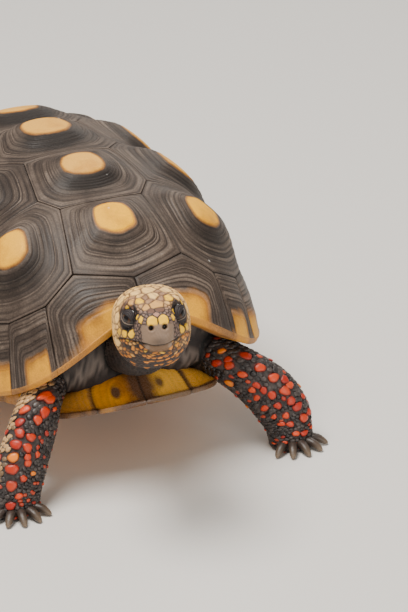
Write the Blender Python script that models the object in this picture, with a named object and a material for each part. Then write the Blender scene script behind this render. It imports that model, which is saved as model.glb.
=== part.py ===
"""A red-footed tortoise as a still, life-size museum model, standing with its head raised and turned.

The shell is a dome of separate horn plates on the trunk. Head, neck, legs and tail are lofted flesh that is
parted by thin cuts, and eyes and claws are pieces of their own. Sizes are in millimetres until new_object()
writes them in metres. The head looks along -Y, the animal's left is +X, and it stands on z = 0.
"""

import math

import bmesh
import bpy
import numpy as np
from mathutils import Matrix, Vector

MM = 0.001

# The shell's own frame: its origin is the middle of the rim plane, and the dome stands above it.
DOME_HALF_LENGTH = 106.0
DOME_HALF_WIDTH = 69.0
DOME_HEIGHT = 73.0
REAR_RISE = 7.0
WAIST = 5.5
WAIST_AZIMUTH = 98.0
WAIST_SPREAD = 42.0
PLAN_POWER = 2.5
DOME_POWER = 2.2
SHELL_CENTRE_HEIGHT = 42.0
SHELL_PITCH = 5.0

# The rim: how high it hangs in the frame above, how far it flares out, and how far it wraps under.
RIM_HEIGHT = -7.0
FRONT_ARCH_RISE = 34.0
FRONT_ARCH_SPREAD = 23.0
HIND_ARCH_RISE = 6.0
FLARE_ENDS = 5.0
FLARE_SIDES = 2.5
FLARE_FADE = 8.0
FRONT_NOTCH = 2.5
RIM_THICKNESS = 1.7
WRAP_ENDS = 14.0
WRAP_SIDES = 9.0

# Horn plates: thickness, the gap that parts them, and how far each one's middle stands proud.
PLATE = 2.5
GAP = 0.35
UNDER_PLATE_GAP = 1.3
BOSS = 4.2
RIM_BOSS = 1.5
PLATE_POINT_SPACING = 13.0

# The underside, in the shell's frame.
PLASTRON_BOTTOM = -24.0
PLASTRON_THICKNESS = 7.0
LIP_EDGE = 2.2
LIP_RISE = 11.5
LIP_DEPTH = 13.0
TRUNK_BOTTOM = 18.0
TRUNK_BOTTOM_POWER = 5.0
BRIDGE_HALF_WIDTH = 63.0
BRIDGE_BEND_START = 42.0
BRIDGE_BEND_RISE = 11.0
PLASTRON_OUTLINE = {
    "y": (-97, -95.5, -92, -87, -79, -66, -50, -45, -40, -32, 32, 40, 46, 52, 62, 74, 84, 88),
    "half": (9, 19, 29, 35, 38, 39.5, 42, 50, 58, 63, 63, 58, 50, 42.5, 40, 34, 24, 12),
}
PLASTRON_PARTS = ("gulars", "humerals", "pectorals", "abdominals", "femorals", "anals")
PLASTRON_SEAMS = (-77.0, -47.5, -30.0, 28.0, 57.0)

# How far the flesh draws back behind the rim, over the neck and over the tail.
FRONT_POCKET = 9.0
REAR_POCKET = 5.0

# The head: where its cheeks are, which way it looks, and its outline behind the snout's tip.
CHEEK_CENTRE = Vector((-11.2, -138.0, 90.0))
HEAD_TURN = -14.0
HEAD_PITCH = 23.0
CHEEK_DISTANCE = 27.0
HEAD_LENGTH = 40.0
HEAD_STATIONS = {
    "distance": (0.0, 1.0, 3.0, 6.0, 10.0, 15.0, 21.0, 27.0, 33.0, 40.0),
    "half_width": (3.2, 5.0, 6.7, 8.5, 10.8, 13.1, 14.8, 15.4, 14.8, 12.8),
    "top": (2.0, 3.4, 5.2, 7.4, 10.2, 12.8, 14.5, 15.0, 14.0, 11.8),
    "bottom": (6.0, 8.2, 10.4, 12.0, 13.4, 14.8, 16.6, 17.6, 16.4, 12.8),
}
HEAD_POWER = 2.3
EYE_DISTANCE = 13.0
EYE_SIDE = 7.8
EYE_RISE = 3.2
EYE_RADIUS = 4.6
EYE_TURN = 48.0
ORBIT_DEPTH = 1.6
ORBIT_REACH = 4.6
BROW_RISE = 1.4
BROW_REACH = 4.0
JAW_LENGTH = 23.0
JAW_LINE = -7.8
JAW_SLOPE = 3.2

PALETTE = {
    "carapace_horn": ((0.055, 0.043, 0.036), 0.55),
    "plastron_horn": ((0.50, 0.25, 0.035), 0.45),
    "skin": ((0.045, 0.040, 0.038), 0.75),
    "head_scales": ((0.55, 0.38, 0.13), 0.55),
    "eye": ((0.012, 0.008, 0.006), 0.08),
    "claw": ((0.06, 0.045, 0.035), 0.35),
}


# ---------------------------------------------------------------- objects and cuts


def clear_scene():
    for old in list(bpy.data.objects):
        bpy.data.objects.remove(old)


def new_collection(name, hidden=False):
    collection = bpy.data.collections.new(name)
    bpy.context.scene.collection.children.link(collection)
    collection.hide_render = hidden
    return collection


def new_material(name):
    colour, roughness = PALETTE[name]
    material = bpy.data.materials.new(name)
    material.use_nodes = True
    shader = material.node_tree.nodes["Principled BSDF"]
    shader.inputs["Base Color"].default_value = (*colour, 1.0)
    shader.inputs["Roughness"].default_value = roughness
    shader.inputs["Metallic"].default_value = 0.0
    return material


def new_object(name, points, faces, material, place=None):
    """A mesh object from points in millimetres, facing out, in triangles so a grown copy folds alike."""
    mesh = bpy.data.meshes.new(name)
    mesh.from_pydata([Vector(p) * MM for p in points], [], faces)
    body = bmesh.new()
    body.from_mesh(mesh)
    bmesh.ops.recalc_face_normals(body, faces=body.faces)
    bmesh.ops.triangulate(body, faces=body.faces, quad_method="SHORT_EDGE")
    if place is not None:
        bmesh.ops.transform(body, matrix=place, verts=body.verts)
    body.to_mesh(mesh)
    body.free()
    mesh.materials.append(material)
    mesh.shade_smooth()
    mesh.set_sharp_from_angle(angle=math.radians(40))
    made = bpy.data.objects.new(name, mesh)
    parts.objects.link(made)
    return made


def loft(rings):
    """Points and faces of a closed solid through equal rings, its two end rings capped."""
    count = len(rings[0])
    points = [p for ring in rings for p in ring]
    faces = []
    for row in range(len(rings) - 1):
        for i in range(count):
            after = (i + 1) % count
            low, high = row * count, (row + 1) * count
            faces.append((low + i, low + after, high + after, high + i))
    faces.append(tuple(range(count)))
    faces.append(tuple(range(len(points) - count, len(points))))
    return points, faces


def into_cutters(helper):
    """Takes a helper out of the model: it only cuts."""
    parts.objects.unlink(helper)
    cutters.objects.link(helper)
    helper.hide_render = True
    helper.display_type = "WIRE"


def grown_copy(source, gap):
    """A cutter: the same solid with every face moved out by the gap."""
    cutter = bpy.data.objects.new(source.name + "_cutter", source.data.copy())
    body = bmesh.new()
    body.from_mesh(cutter.data)
    body.normal_update()
    moves = [v.normal * min(v.calc_shell_factor(), 1.8) * gap * MM for v in body.verts]
    for vertex, move in zip(body.verts, moves):
        vertex.co += move
    body.to_mesh(cutter.data)
    body.free()
    cutter.hide_render = True
    cutter.display_type = "WIRE"
    cutters.objects.link(cutter)
    return cutter


def apply_boolean(target, cutter, operation="DIFFERENCE"):
    """Cuts target with cutter and keeps the result as target's mesh."""
    modifier = target.modifiers.new("cut", "BOOLEAN")
    modifier.operation = operation
    modifier.solver = "EXACT"
    modifier.object = cutter
    bpy.context.view_layer.update()
    graph = bpy.context.evaluated_depsgraph_get()
    result = bpy.data.meshes.new_from_object(target.evaluated_get(graph))
    target.modifiers.remove(modifier)
    target.data = result


def trim(target, neighbours, gap=GAP):
    for neighbour in neighbours:
        apply_boolean(target, grown_copy(neighbour, gap))


def keep_side(source, name, point, normal):
    """A copy of source cut off at a plane, keeping the side that the normal points away from."""
    kept = bpy.data.objects.new(name, source.data.copy())
    parts.objects.link(kept)
    body = bmesh.new()
    body.from_mesh(kept.data)
    everything = body.verts[:] + body.edges[:] + body.faces[:]
    cut = bmesh.ops.bisect_plane(
        body, geom=everything, dist=1e-7, plane_co=point * MM, plane_no=normal, clear_outer=True
    )
    edges = [e for e in cut["geom_cut"] if isinstance(e, bmesh.types.BMEdge)]
    bmesh.ops.holes_fill(body, edges=edges, sides=0)
    body.to_mesh(kept.data)
    body.free()
    return kept


def part_at(source, point, normal, near_name, far_name):
    """Parts source at a plane by a thin cut: near_name is behind the normal, far_name ahead of it."""
    point, normal = Vector(point), Vector(normal).normalized()
    near = keep_side(source, near_name, point - normal * GAP / 2, normal)
    far = keep_side(source, far_name, point + normal * GAP / 2, -normal)
    bpy.data.objects.remove(source)
    return near, far


# ---------------------------------------------------------------- the dome


def azimuth_of(d):
    """Degrees round the plan: 0 at the front, 90 at the left, 180 at the rear, the same on both sides."""
    return math.degrees(math.atan2(abs(d.x), -d.y))


def plan_radius(azimuth):
    """The superelliptic plan outline."""
    half_width = DOME_HALF_WIDTH - WAIST * bell(azimuth, WAIST_AZIMUTH, WAIST_SPREAD)
    side = abs(math.sin(math.radians(azimuth))) / half_width
    along = abs(math.cos(math.radians(azimuth))) / DOME_HALF_LENGTH
    return (side**PLAN_POWER + along**PLAN_POWER) ** (-1 / PLAN_POWER)


def bell(value, middle, spread):
    return math.exp(-(((value - middle) / spread) ** 2))


def rim_level(azimuth):
    """The rim's height: low at the bridge, arched over the neck and a little over the hind legs."""
    front = FRONT_ARCH_RISE * bell(azimuth, 0, FRONT_ARCH_SPREAD)
    return RIM_HEIGHT + front + HIND_ARCH_RISE * bell(azimuth, 140, 18)


def rim_elevation(azimuth):
    return math.degrees(math.atan2(rim_level(azimuth), plan_radius(azimuth)))


def rim_depth(azimuth, share):
    """How deep the rim plates reach inwards, from their edge (share 0) up to their top seam (share 1)."""
    wrap = at_ends(azimuth, WRAP_ENDS, WRAP_SIDES)
    return PLATE + (wrap - PLATE) * float(np.interp(share, (0.0, 0.35, 1.0), (1.0, 0.42, 0.0)))


def at_ends(azimuth, ends, sides):
    """A value that is `ends` at the front and rear and `sides` at the bridge."""
    share = min(1.0, abs(math.cos(math.radians(azimuth))) * 1.4) ** 2
    return sides + (ends - sides) * share


def dome_radius(d):
    """Distance from the shell's centre to the smooth dome along the unit direction d."""
    azimuth = azimuth_of(d)
    level = math.hypot(d.x, d.y)
    height = DOME_HEIGHT + REAR_RISE * max(d.y, 0.0)
    reach = (level / plan_radius(azimuth)) ** DOME_POWER + (abs(d.z) / height) ** DOME_POWER
    radius = reach ** (-1 / DOME_POWER)
    above_rim = math.degrees(math.asin(d.z)) - rim_elevation(azimuth)
    flare = at_ends(azimuth, FLARE_ENDS, FLARE_SIDES) - FRONT_NOTCH * bell(azimuth, 0, 7)
    return radius + flare * math.exp(-max(above_rim, 0.0) / FLARE_FADE)


def on_dome(direction, proud=0.0):
    d = Vector(direction).normalized()
    return d * (dome_radius(d) + proud)


def direction_at(azimuth, elevation, side=1):
    a, e = math.radians(azimuth), math.radians(elevation)
    return Vector((side * math.sin(a) * math.cos(e), -math.cos(a) * math.cos(e), math.sin(e)))


def plan_corner(across, along):
    """A seam corner given by its plan place, as shares of the half width and half length."""
    out = (abs(across) ** PLAN_POWER + abs(along) ** PLAN_POWER) ** (1 / PLAN_POWER)
    height = DOME_HEIGHT * (1 - min(out, 0.999) ** DOME_POWER) ** (1 / DOME_POWER)
    return on_dome((across * DOME_HALF_WIDTH, along * DOME_HALF_LENGTH, height))


# Where the plates of the top meet, as plan shares on the left; the right mirrors them.
VERTEBRAL_JOINTS = ((0.26, -0.57), (0.28, -0.195), (0.28, 0.19), (0.22, 0.55))
COSTAL_JOINTS = ((0.35, -0.48), (0.42, -0.05), (0.38, 0.33))
FIRST_PLATE_CORNER = (0.34, -0.82)
FRONT_MIDDLE = (0.0, -0.885)
VERTEBRAL_BOSSES = (-0.70, -0.36, 0.045, 0.40, 0.73)
COSTAL_BOSSES = ((0.60, -0.595), (0.68, -0.20), (0.67, 0.20), (0.56, 0.58))

# The seam between costals and rim plates, as azimuth and elevation, and the rim plates' joints at the edge.
RIM_TOP_JOINTS = (
    (22.6, 17.9), (32.5, 13.9), (48.0, 12.6), (63.0, 12.6), (78.0, 12.8), (93.0, 13.0),
    (108.0, 13.2), (122.0, 13.8), (136.0, 15.0), (151.0, 17.0), (167.0, 21.0),
)
RIM_EDGE_JOINTS = (0.0, 20.8, 32.0, 49.0, 63.0, 78.0, 93.0, 108.0, 122.0, 136.0, 151.0, 168.0)
COSTAL_FEET = ((67.0, 12.6), (96.0, 13.1), (125.0, 14.0), (158.0, 18.8))
COSTAL_FEET_IN_RIM_PLATE = (5, 7, 9, 11)


def mirrored(point, side):
    return Vector((point.x * side, point.y, point.z))


def vertebral_outlines():
    """The corner loops of the five plates along the back, front to rear."""
    joints = [[mirrored(plan_corner(*j), s) for j in VERTEBRAL_JOINTS] for s in (1, -1)]
    waists = [[mirrored(plan_corner(*j), s) for j in COSTAL_JOINTS] for s in (1, -1)]
    first = [mirrored(plan_corner(*FIRST_PLATE_CORNER), s) for s in (1, -1)]
    last = [on_dome(direction_at(*COSTAL_FEET[3], s)) for s in (1, -1)]
    tail = [on_dome(direction_at(*RIM_TOP_JOINTS[10], s)) for s in (1, -1)]
    loops = [[plan_corner(*FRONT_MIDDLE), first[0], joints[0][0], joints[1][0], first[1]]]
    for i in range(3):
        loops.append(
            [joints[0][i], waists[0][i], joints[0][i + 1], joints[1][i + 1], waists[1][i], joints[1][i]]
        )
    loops.append([joints[0][3], last[0], tail[0], tail[1], last[1], joints[1][3]])
    return loops


def costal_outlines(side):
    """The corner loops of the four plates on one flank, front to rear."""
    joints = [mirrored(plan_corner(*j), side) for j in VERTEBRAL_JOINTS]
    waists = [mirrored(plan_corner(*j), side) for j in COSTAL_JOINTS]
    feet = [on_dome(direction_at(*f, side)) for f in COSTAL_FEET]
    rim = [on_dome(direction_at(*j, side)) for j in RIM_TOP_JOINTS]
    first = mirrored(plan_corner(*FIRST_PLATE_CORNER), side)
    return [
        [first, joints[0], waists[0], feet[0], rim[3], rim[2], rim[1], rim[0]],
        [waists[0], joints[1], waists[1], feet[1], rim[5], rim[4], feet[0]],
        [waists[1], joints[2], waists[2], feet[2], rim[7], rim[6], feet[1]],
        [waists[2], joints[3], feet[3], rim[9], rim[8], feet[2]],
    ]


def sampled(loop, spacing):
    """The loop with points along each side, no further apart than the spacing."""
    points = []
    for start, end in zip(loop, loop[1:] + loop[:1]):
        steps = max(1, math.ceil((end - start).length / spacing))
        points += [start.lerp(end, i / steps) for i in range(steps)]
    return points


def horn_plate(name, corners, middle):
    """A horn plate: a fan from its boss out to its seams, on the dome, with its own thickness."""
    border = sampled(corners, PLATE_POINT_SPACING)
    border = [p + (middle - p).normalized() * GAP for p in border]
    count = len(border)
    outer = [(0.0, BOSS), (0.3, BOSS * 0.92), (0.65, BOSS * 0.42), (1.0, 0.0)]
    inner = [(1.0, -PLATE), (0.5, -PLATE), (0.0, -PLATE)]
    points = []
    starts = []
    for share, proud in outer + inner:
        starts.append(len(points))
        if share == 0.0:
            points.append(on_dome(middle, proud))
        else:
            points += [on_dome(middle.lerp(p, share), proud) for p in border]
    faces = []
    for low, high in zip(starts, starts[1:]):
        for i in range(count):
            after = (i + 1) % count
            if low == starts[0]:
                faces.append((low, high + i, high + after))
            elif high == starts[-1]:
                faces.append((low + i, high, low + after))
            else:
                faces.append((low + i, high + i, high + after, low + after))
    return new_object(name, points, faces, horn, shell_place)


def rim_ring(top, edge_azimuth, side, proud):
    """One cross-section of the rim: down the outside, round the edge, in under it and up the inside."""
    edge = on_dome(direction_at(edge_azimuth, rim_elevation(edge_azimuth), side))
    wrap = at_ends(edge_azimuth, WRAP_ENDS, WRAP_SIDES)
    ring = []
    for share, bulge in ((0.985, 0.0), (0.62, 0.8), (0.28, 1.0), (0.0, 0.3)):
        ring.append(on_dome(edge.lerp(top, share), proud * bulge))
    below = direction_at(edge_azimuth, rim_elevation(edge_azimuth) - RIM_THICKNESS, side)
    radius = dome_radius(below)
    ring.append(below * (radius - 1.0))
    ring.append(below * (radius - wrap))
    for share in (0.35, 0.985):
        ring.append(on_dome(edge.lerp(top, share), -rim_depth(edge_azimuth, share)))
    return ring


def rim_top(index, side):
    """The top joint of rim plate number index: the front middle, then the joints along the costals."""
    if index == 0:
        return plan_corner(*FRONT_MIDDLE)
    return on_dome(direction_at(*RIM_TOP_JOINTS[index - 1], side))


def rim_columns(first, last, side, steps):
    """(top point, edge azimuth, bulge) of each column through rim plates first to last."""
    columns = []
    for plate in range(first, last + 1):
        corners = [rim_top(plate - 1, side), rim_top(plate, side)]
        if plate == 1:
            corners.insert(1, mirrored(plan_corner(*FIRST_PLATE_CORNER), side))
        if plate in COSTAL_FEET_IN_RIM_PLATE:
            foot = COSTAL_FEET[COSTAL_FEET_IN_RIM_PLATE.index(plate)]
            corners.insert(1, on_dome(direction_at(*foot, side)))
        spans = len(corners) - 1
        start, end = RIM_EDGE_JOINTS[plate - 1], RIM_EDGE_JOINTS[plate]
        for i in range(steps + (plate == last)):
            share = i / steps
            span = min(int(share * spans), spans - 1)
            top = corners[span].lerp(corners[span + 1], share * spans - span)
            columns.append((top, start + (end - start) * share, math.sin(math.pi * share) ** 0.5))
    return columns


def rim_block(name, first, last, side, steps=3):
    columns = rim_columns(first, last, side, steps)
    # The end sections stand back from the seam, so that neighbours keep their gap.
    for end, inner in ((0, 1), (-1, -2)):
        top, azimuth, bulge = columns[end]
        next_top, next_azimuth, _ = columns[inner]
        share = GAP / max((next_top - top).length, 1.0)
        columns[end] = (top.lerp(next_top, share), azimuth + (next_azimuth - azimuth) * share, bulge)
    rings = [rim_ring(top, azimuth, side, RIM_BOSS * bulge) for top, azimuth, bulge in columns]
    return new_object(name, *loft(rings), horn, shell_place)


def tail_plate(name, steps=4):
    """The single plate over the tail, from one side's last joint to the other's."""
    rings = []
    edge_joint = RIM_EDGE_JOINTS[11]
    left, right = rim_top(11, 1), rim_top(11, -1)
    for i in range(steps + 1):
        share = min(max(i / steps, 0.012), 0.988)
        azimuth = edge_joint + (180 - edge_joint) * 2 * min(share, 1 - share)
        side = 1 if share <= 0.5 else -1
        rings.append(rim_ring(left.lerp(right, share), azimuth, side, RIM_BOSS * math.sin(math.pi * share)))
    return new_object(name, *loft(rings), horn, shell_place)


# ---------------------------------------------------------------- trunk and plastron


def seam_elevation(azimuth):
    """The elevation of the seam between rim and costals, all round."""
    joints = ((0.0, 22.7), (15.0, 25.4), *RIM_TOP_JOINTS, (180.0, 21.5))
    return float(np.interp(azimuth, [j[0] for j in joints], [j[1] for j in joints]))


def trunk_point(azimuth, level, side):
    """The flesh under the plates. Level 2 is the crown, 1 the rim plates' top seam, 0 the rim's edge."""
    rim, seam = rim_elevation(azimuth), seam_elevation(azimuth)
    if level > 1:
        elevation = seam + (88 - seam) * (level - 1)
    elif level > 0:
        elevation = rim + (seam - rim) * level
    else:
        elevation = rim - 2 + (80 + rim) * level
    pocket = FRONT_POCKET * bell(azimuth, 0, 34) + REAR_POCKET * bell(azimuth, 180, 50)
    inset = rim_depth(azimuth, min(max(level, 0.0), 1.0)) + UNDER_PLATE_GAP
    inset += (0.8 + pocket) * min(max((0.35 - level) / 0.5, 0.0), 1.0)
    d = direction_at(azimuth, elevation, side)
    if d.z >= 0:
        return d * (dome_radius(d) - inset)
    out = math.hypot(d.x, d.y)
    side_reach = dome_radius(direction_at(azimuth, 0.0, side)) - inset
    power = TRUNK_BOTTOM_POWER
    return d * ((out / side_reach) ** power + (-d.z / TRUNK_BOTTOM) ** power) ** (-1 / power)


def make_trunk():
    levels = (1.92, 1.72, 1.5, 1.32, 1.14, 1.0, 0.68, 0.35, 0.0, -0.14, -0.3, -0.5, -0.75)
    azimuths = [i * 15 for i in range(24)]
    rings = []
    for level in levels:
        ring = []
        for azimuth in azimuths:
            side = 1 if azimuth <= 180 else -1
            ring.append(trunk_point(azimuth if side > 0 else 360 - azimuth, level, side))
        rings.append(ring)
    return new_object("trunk", *loft(rings), skin, shell_place)


def plastron_floor(x, y):
    """The underside's height: its sides bend up to the rim, and both lobes curl up a little."""
    bend = max(0.0, (abs(x) - BRIDGE_BEND_START) / (BRIDGE_HALF_WIDTH - BRIDGE_BEND_START))
    front = max(0.0, (-58 - y) / 39)
    rear = max(0.0, (y - 60) / 28)
    return PLASTRON_BOTTOM + BRIDGE_BEND_RISE * bend**1.8 + 7.0 * front**1.4 + 3.0 * rear**1.5


def plastron_depth(x, y):
    """How thick it is: a thin front edge that rises back into the thick lip under the neck."""
    back = (y - PLASTRON_OUTLINE["y"][0] - 8.5 * (x / 34.5) ** 2) / LIP_DEPTH
    lip = LIP_RISE * min(max(back, 0.0), 1.0) * max(0.0, 1 - (x / 40) ** 2)
    fade = min(max((-62 - y) / 14, 0.0), 1.0)
    depth = LIP_EDGE + lip * fade + (PLASTRON_THICKNESS - LIP_EDGE) * (1 - fade)
    if abs(x) > 50:
        depth = min(depth, rim_level(azimuth_of(Vector((x, y, 0)))) - 3.0 - plastron_floor(x, y))
    return depth


def make_plastron():
    """The whole plastron as one slab, cut to the trunk, then parted at its seams."""
    rows = (-97, -95.5, -92, -87, -83.5, -79, -66, -50, -45, -40, -32, 0, 32, 40, 46, 52, 62, 74, 84, 88)
    across = (-1, -0.86, -0.7, -0.36, 0, 0.36, 0.7, 0.86, 1)
    rings = []
    for y in rows:
        half = float(np.interp(y, PLASTRON_OUTLINE["y"], PLASTRON_OUTLINE["half"]))
        low = [(u * half, y, plastron_floor(u * half, y)) for u in across]
        high = [(x, y, z + plastron_depth(x, y)) for x, y, z in reversed(low)]
        rings.append(low + high)
    blank = new_object("plastron_blank", *loft(rings), plastron_horn, shell_place)
    rest = blank.copy()
    rest.data = blank.data.copy()
    parts.objects.link(rest)
    into_cutters(blank)
    trim(rest, [trunk])
    turn = shell_place.to_3x3()
    for name, y in zip(PLASTRON_PARTS, PLASTRON_SEAMS):
        point = shell_place @ (Vector((0, y, 0)) * MM) / MM
        _, rest = part_at(rest, point, turn @ Vector((0, 1, 0)), f"plastron_{name}", "plastron_rest")
    rest.name = f"plastron_{PLASTRON_PARTS[-1]}"
    return blank


# ---------------------------------------------------------------- flesh


def superellipse(angle, half_width, top, bottom, power):
    """A point of a ring that is unlike above and below: angle 0 is the left side, 90 the top."""
    c, s = math.cos(angle), math.sin(angle)
    height = top if s > 0 else bottom
    radius = (abs(c / half_width) ** power + abs(s / height) ** power) ** (-1 / power)
    return radius * c, radius * s


def spline(stations, share):
    """The Catmull-Rom curve through equal-length tuples of numbers, at share 0 to 1 of its length."""
    spans = len(stations) - 1
    at = min(share * spans, spans - 1e-9)
    i = int(at)
    t = at - i
    p = [np.array(stations[min(max(k, 0), spans)], float) for k in (i - 1, i, i + 1, i + 2)]
    return 0.5 * (
        2 * p[1]
        + (p[2] - p[0]) * t
        + (2 * p[0] - 5 * p[1] + 4 * p[2] - p[3]) * t**2
        + (3 * p[1] - p[0] - 3 * p[2] + p[3]) * t**3
    )


def limb_rings(stations, reference, rings, sides):
    """Rings along a limb. A station is x, y, z, half width, half depth; the width lies across reference."""
    made = []
    for i in range(rings):
        share = i / (rings - 1)
        row = spline(stations, share)
        ahead = spline(stations, min(share + 0.01, 1.0))[:3] - spline(stations, max(share - 0.01, 0.0))[:3]
        along = Vector(ahead).normalized()
        across = along.cross(Vector(reference)).normalized()
        up = across.cross(along)
        centre = Vector(row[:3])
        ring = []
        for k in range(sides):
            u, v = superellipse(2 * math.pi * k / sides, row[3], row[4], row[4], 2.2)
            ring.append(centre + across * u + up * v)
        made.append(ring)
    return made


def head_matrix():
    """The head's own frame: +X its left, -Y ahead, +Z its crown, from the tip of the snout."""
    turn = Matrix.Rotation(math.radians(HEAD_TURN), 4, "Z")
    turn = turn @ Matrix.Rotation(math.radians(-HEAD_PITCH), 4, "X")
    ahead = turn @ Vector((0, -1, 0))
    return Matrix.Translation(CHEEK_CENTRE + ahead * CHEEK_DISTANCE) @ turn


def head_ring(distance, sides):
    """The head's outline in a plane across it, with the brow standing proud over each eye."""
    width, top, bottom = (
        float(np.interp(distance, HEAD_STATIONS["distance"], HEAD_STATIONS[key]))
        for key in ("half_width", "top", "bottom")
    )
    turn = math.radians(EYE_TURN)
    orbit = Vector((EYE_SIDE, EYE_DISTANCE, EYE_RISE))
    orbit += Vector((math.sin(turn), -math.cos(turn), 0)) * EYE_RADIUS
    brow = orbit + Vector((-1.5, 1.5, 5.0))
    ring = []
    for k in range(sides):
        x, z = superellipse(2 * math.pi * k / sides, width, top, bottom, HEAD_POWER)
        point = Vector((x, distance, z))
        half = Vector((abs(x), distance, z))
        dent = ORBIT_DEPTH * bell((half - orbit).length, 0, ORBIT_REACH)
        rise = BROW_RISE * bell((half - brow).length, 0, BROW_REACH)
        ring.append(point + Vector((x, 0, z)).normalized() * (rise - dent))
    return ring


def make_head():
    """The head with its eyes set in sockets and the lower jaw parted along the mouth."""
    place = head_matrix()
    distances = (0.0, 1.0, 3.0, 6.0, 9.5, 13.0, 17.0, 22.0, 27.0, 33.0, HEAD_LENGTH)
    rings = [[place @ p for p in head_ring(d, 22)] for d in distances]
    head = new_object("head", *loft(rings), head_scales)

    def wedge(name, spread):
        """The space below the mouth's line, back to the corner of the mouth."""
        wide, deep = 24.0, 30.0
        corners = []
        for x in (-wide, wide):
            for y, z in (
                (-6.0, JAW_LINE + spread),
                (JAW_LENGTH + spread, JAW_LINE + JAW_SLOPE + spread),
                (JAW_LENGTH + spread - 4.0, -deep),
                (-6.0, -deep),
            ):
                corners.append(place @ Vector((x, y, z)))
        faces = [(0, 1, 2, 3), (7, 6, 5, 4), (0, 4, 5, 1), (1, 5, 6, 2), (2, 6, 7, 3), (3, 7, 4, 0)]
        cutter = new_object(name, corners, faces, head_scales)
        into_cutters(cutter)
        return cutter

    jaw = bpy.data.objects.new("lower_jaw", head.data.copy())
    parts.objects.link(jaw)
    apply_boolean(jaw, wedge("jaw_cutter", -GAP), "INTERSECT")
    apply_boolean(head, wedge("mouth_cutter", 0.0))
    for side, word in ((1, "left"), (-1, "right")):
        bpy.ops.mesh.primitive_uv_sphere_add(segments=12, ring_count=8, radius=EYE_RADIUS * MM)
        eye = bpy.context.object
        eye.name = f"eye_{word}"
        centre = place @ Vector((side * EYE_SIDE, EYE_DISTANCE, EYE_RISE))
        eye.data.transform(Matrix.Translation(centre * MM))
        eye.data.materials.append(eye_glass)
        eye.data.shade_smooth()
        for owner in list(eye.users_collection):
            owner.objects.unlink(eye)
        parts.objects.link(eye)
        trim(head, [eye])
    return head


def make_neck():
    """The neck, from the back of the head down and back into the shell."""
    place = head_matrix()
    behind = place @ Vector((0, HEAD_LENGTH + GAP, 0))
    back = (place @ Vector((0, 1, 0)) - place @ Vector((0, 0, 0))).normalized()
    sides = 16
    first = [place @ (p + Vector((0, GAP, 0))) for p in head_ring(HEAD_LENGTH, sides)]
    stations = [
        (*behind, 12.4, 11.6),
        (*(behind + back * 7 - Vector((0, 0, 2))), 11.4, 10.8),
        (-3.0, -108.0, 69.0, 11.0, 10.4),
        (-1.0, -97.0, 59.0, 11.6, 10.4),
        (0.0, -84.0, 54.0, 12.5, 10.6),
        (0.0, -70.0, 52.0, 13.0, 11.0),
    ]
    rings = limb_rings(stations, (0, 0.3, -1), 9, sides)[2:]
    start = min(range(sides), key=lambda k: (rings[0][k] - first[0]).length)
    after, before = (rings[0][(start + i) % sides] for i in (1, -1))
    step = -1 if (after - first[1]).length > (before - first[1]).length else 1
    aligned = [[ring[(start + step * k) % sides] for k in range(sides)] for ring in rings]
    neck = new_object("neck", *loft([first, *aligned]), skin)
    trim(neck, [trunk, *rims[:2]])
    return neck


FORELEG_LEFT = (
    (22.0, -58.0, 40.0, 10.0, 9.0),
    (35.0, -74.0, 40.0, 10.0, 9.0),
    (45.0, -86.0, 35.5, 10.4, 9.0),
    (55.5, -92.0, 26.0, 11.8, 9.0),
    (62.0, -95.0, 15.5, 11.6, 9.0),
    (64.0, -96.5, 6.0, 10.2, 9.0),
    (64.5, -97.0, -3.0, 10.2, 9.4),
)
FORELEG_RIGHT = (
    (-22.0, -58.0, 40.0, 10.0, 9.0),
    (-34.5, -75.0, 41.0, 10.0, 9.0),
    (-43.0, -88.0, 38.0, 10.4, 9.0),
    (-50.5, -95.0, 28.0, 11.4, 9.0),
    (-56.5, -99.0, 17.0, 11.4, 9.0),
    (-59.5, -101.0, 6.5, 10.2, 9.0),
    (-60.0, -101.5, -3.0, 10.2, 9.4),
)
HINDLEG = (
    (24.0, 50.0, 30.0, 11.0, 11.0),
    (36.0, 61.0, 28.0, 13.0, 12.0),
    (45.0, 71.0, 21.0, 13.0, 12.0),
    (49.0, 77.0, 12.0, 11.5, 11.0),
    (50.0, 79.0, 4.0, 11.0, 10.5),
    (50.0, 79.5, -4.0, 11.2, 10.6),
)
TAIL = (
    (0.0, 70.0, 23.0, 8.0, 7.0),
    (1.5, 84.0, 20.0, 7.0, 6.0),
    (4.5, 95.0, 16.0, 5.0, 4.5),
    (8.0, 103.0, 11.0, 3.0, 2.8),
    (10.0, 108.0, 8.0, 1.0, 1.0),
)
CLAW_LENGTH = 8.5
CLAW_RADIUS = 2.1


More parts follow.
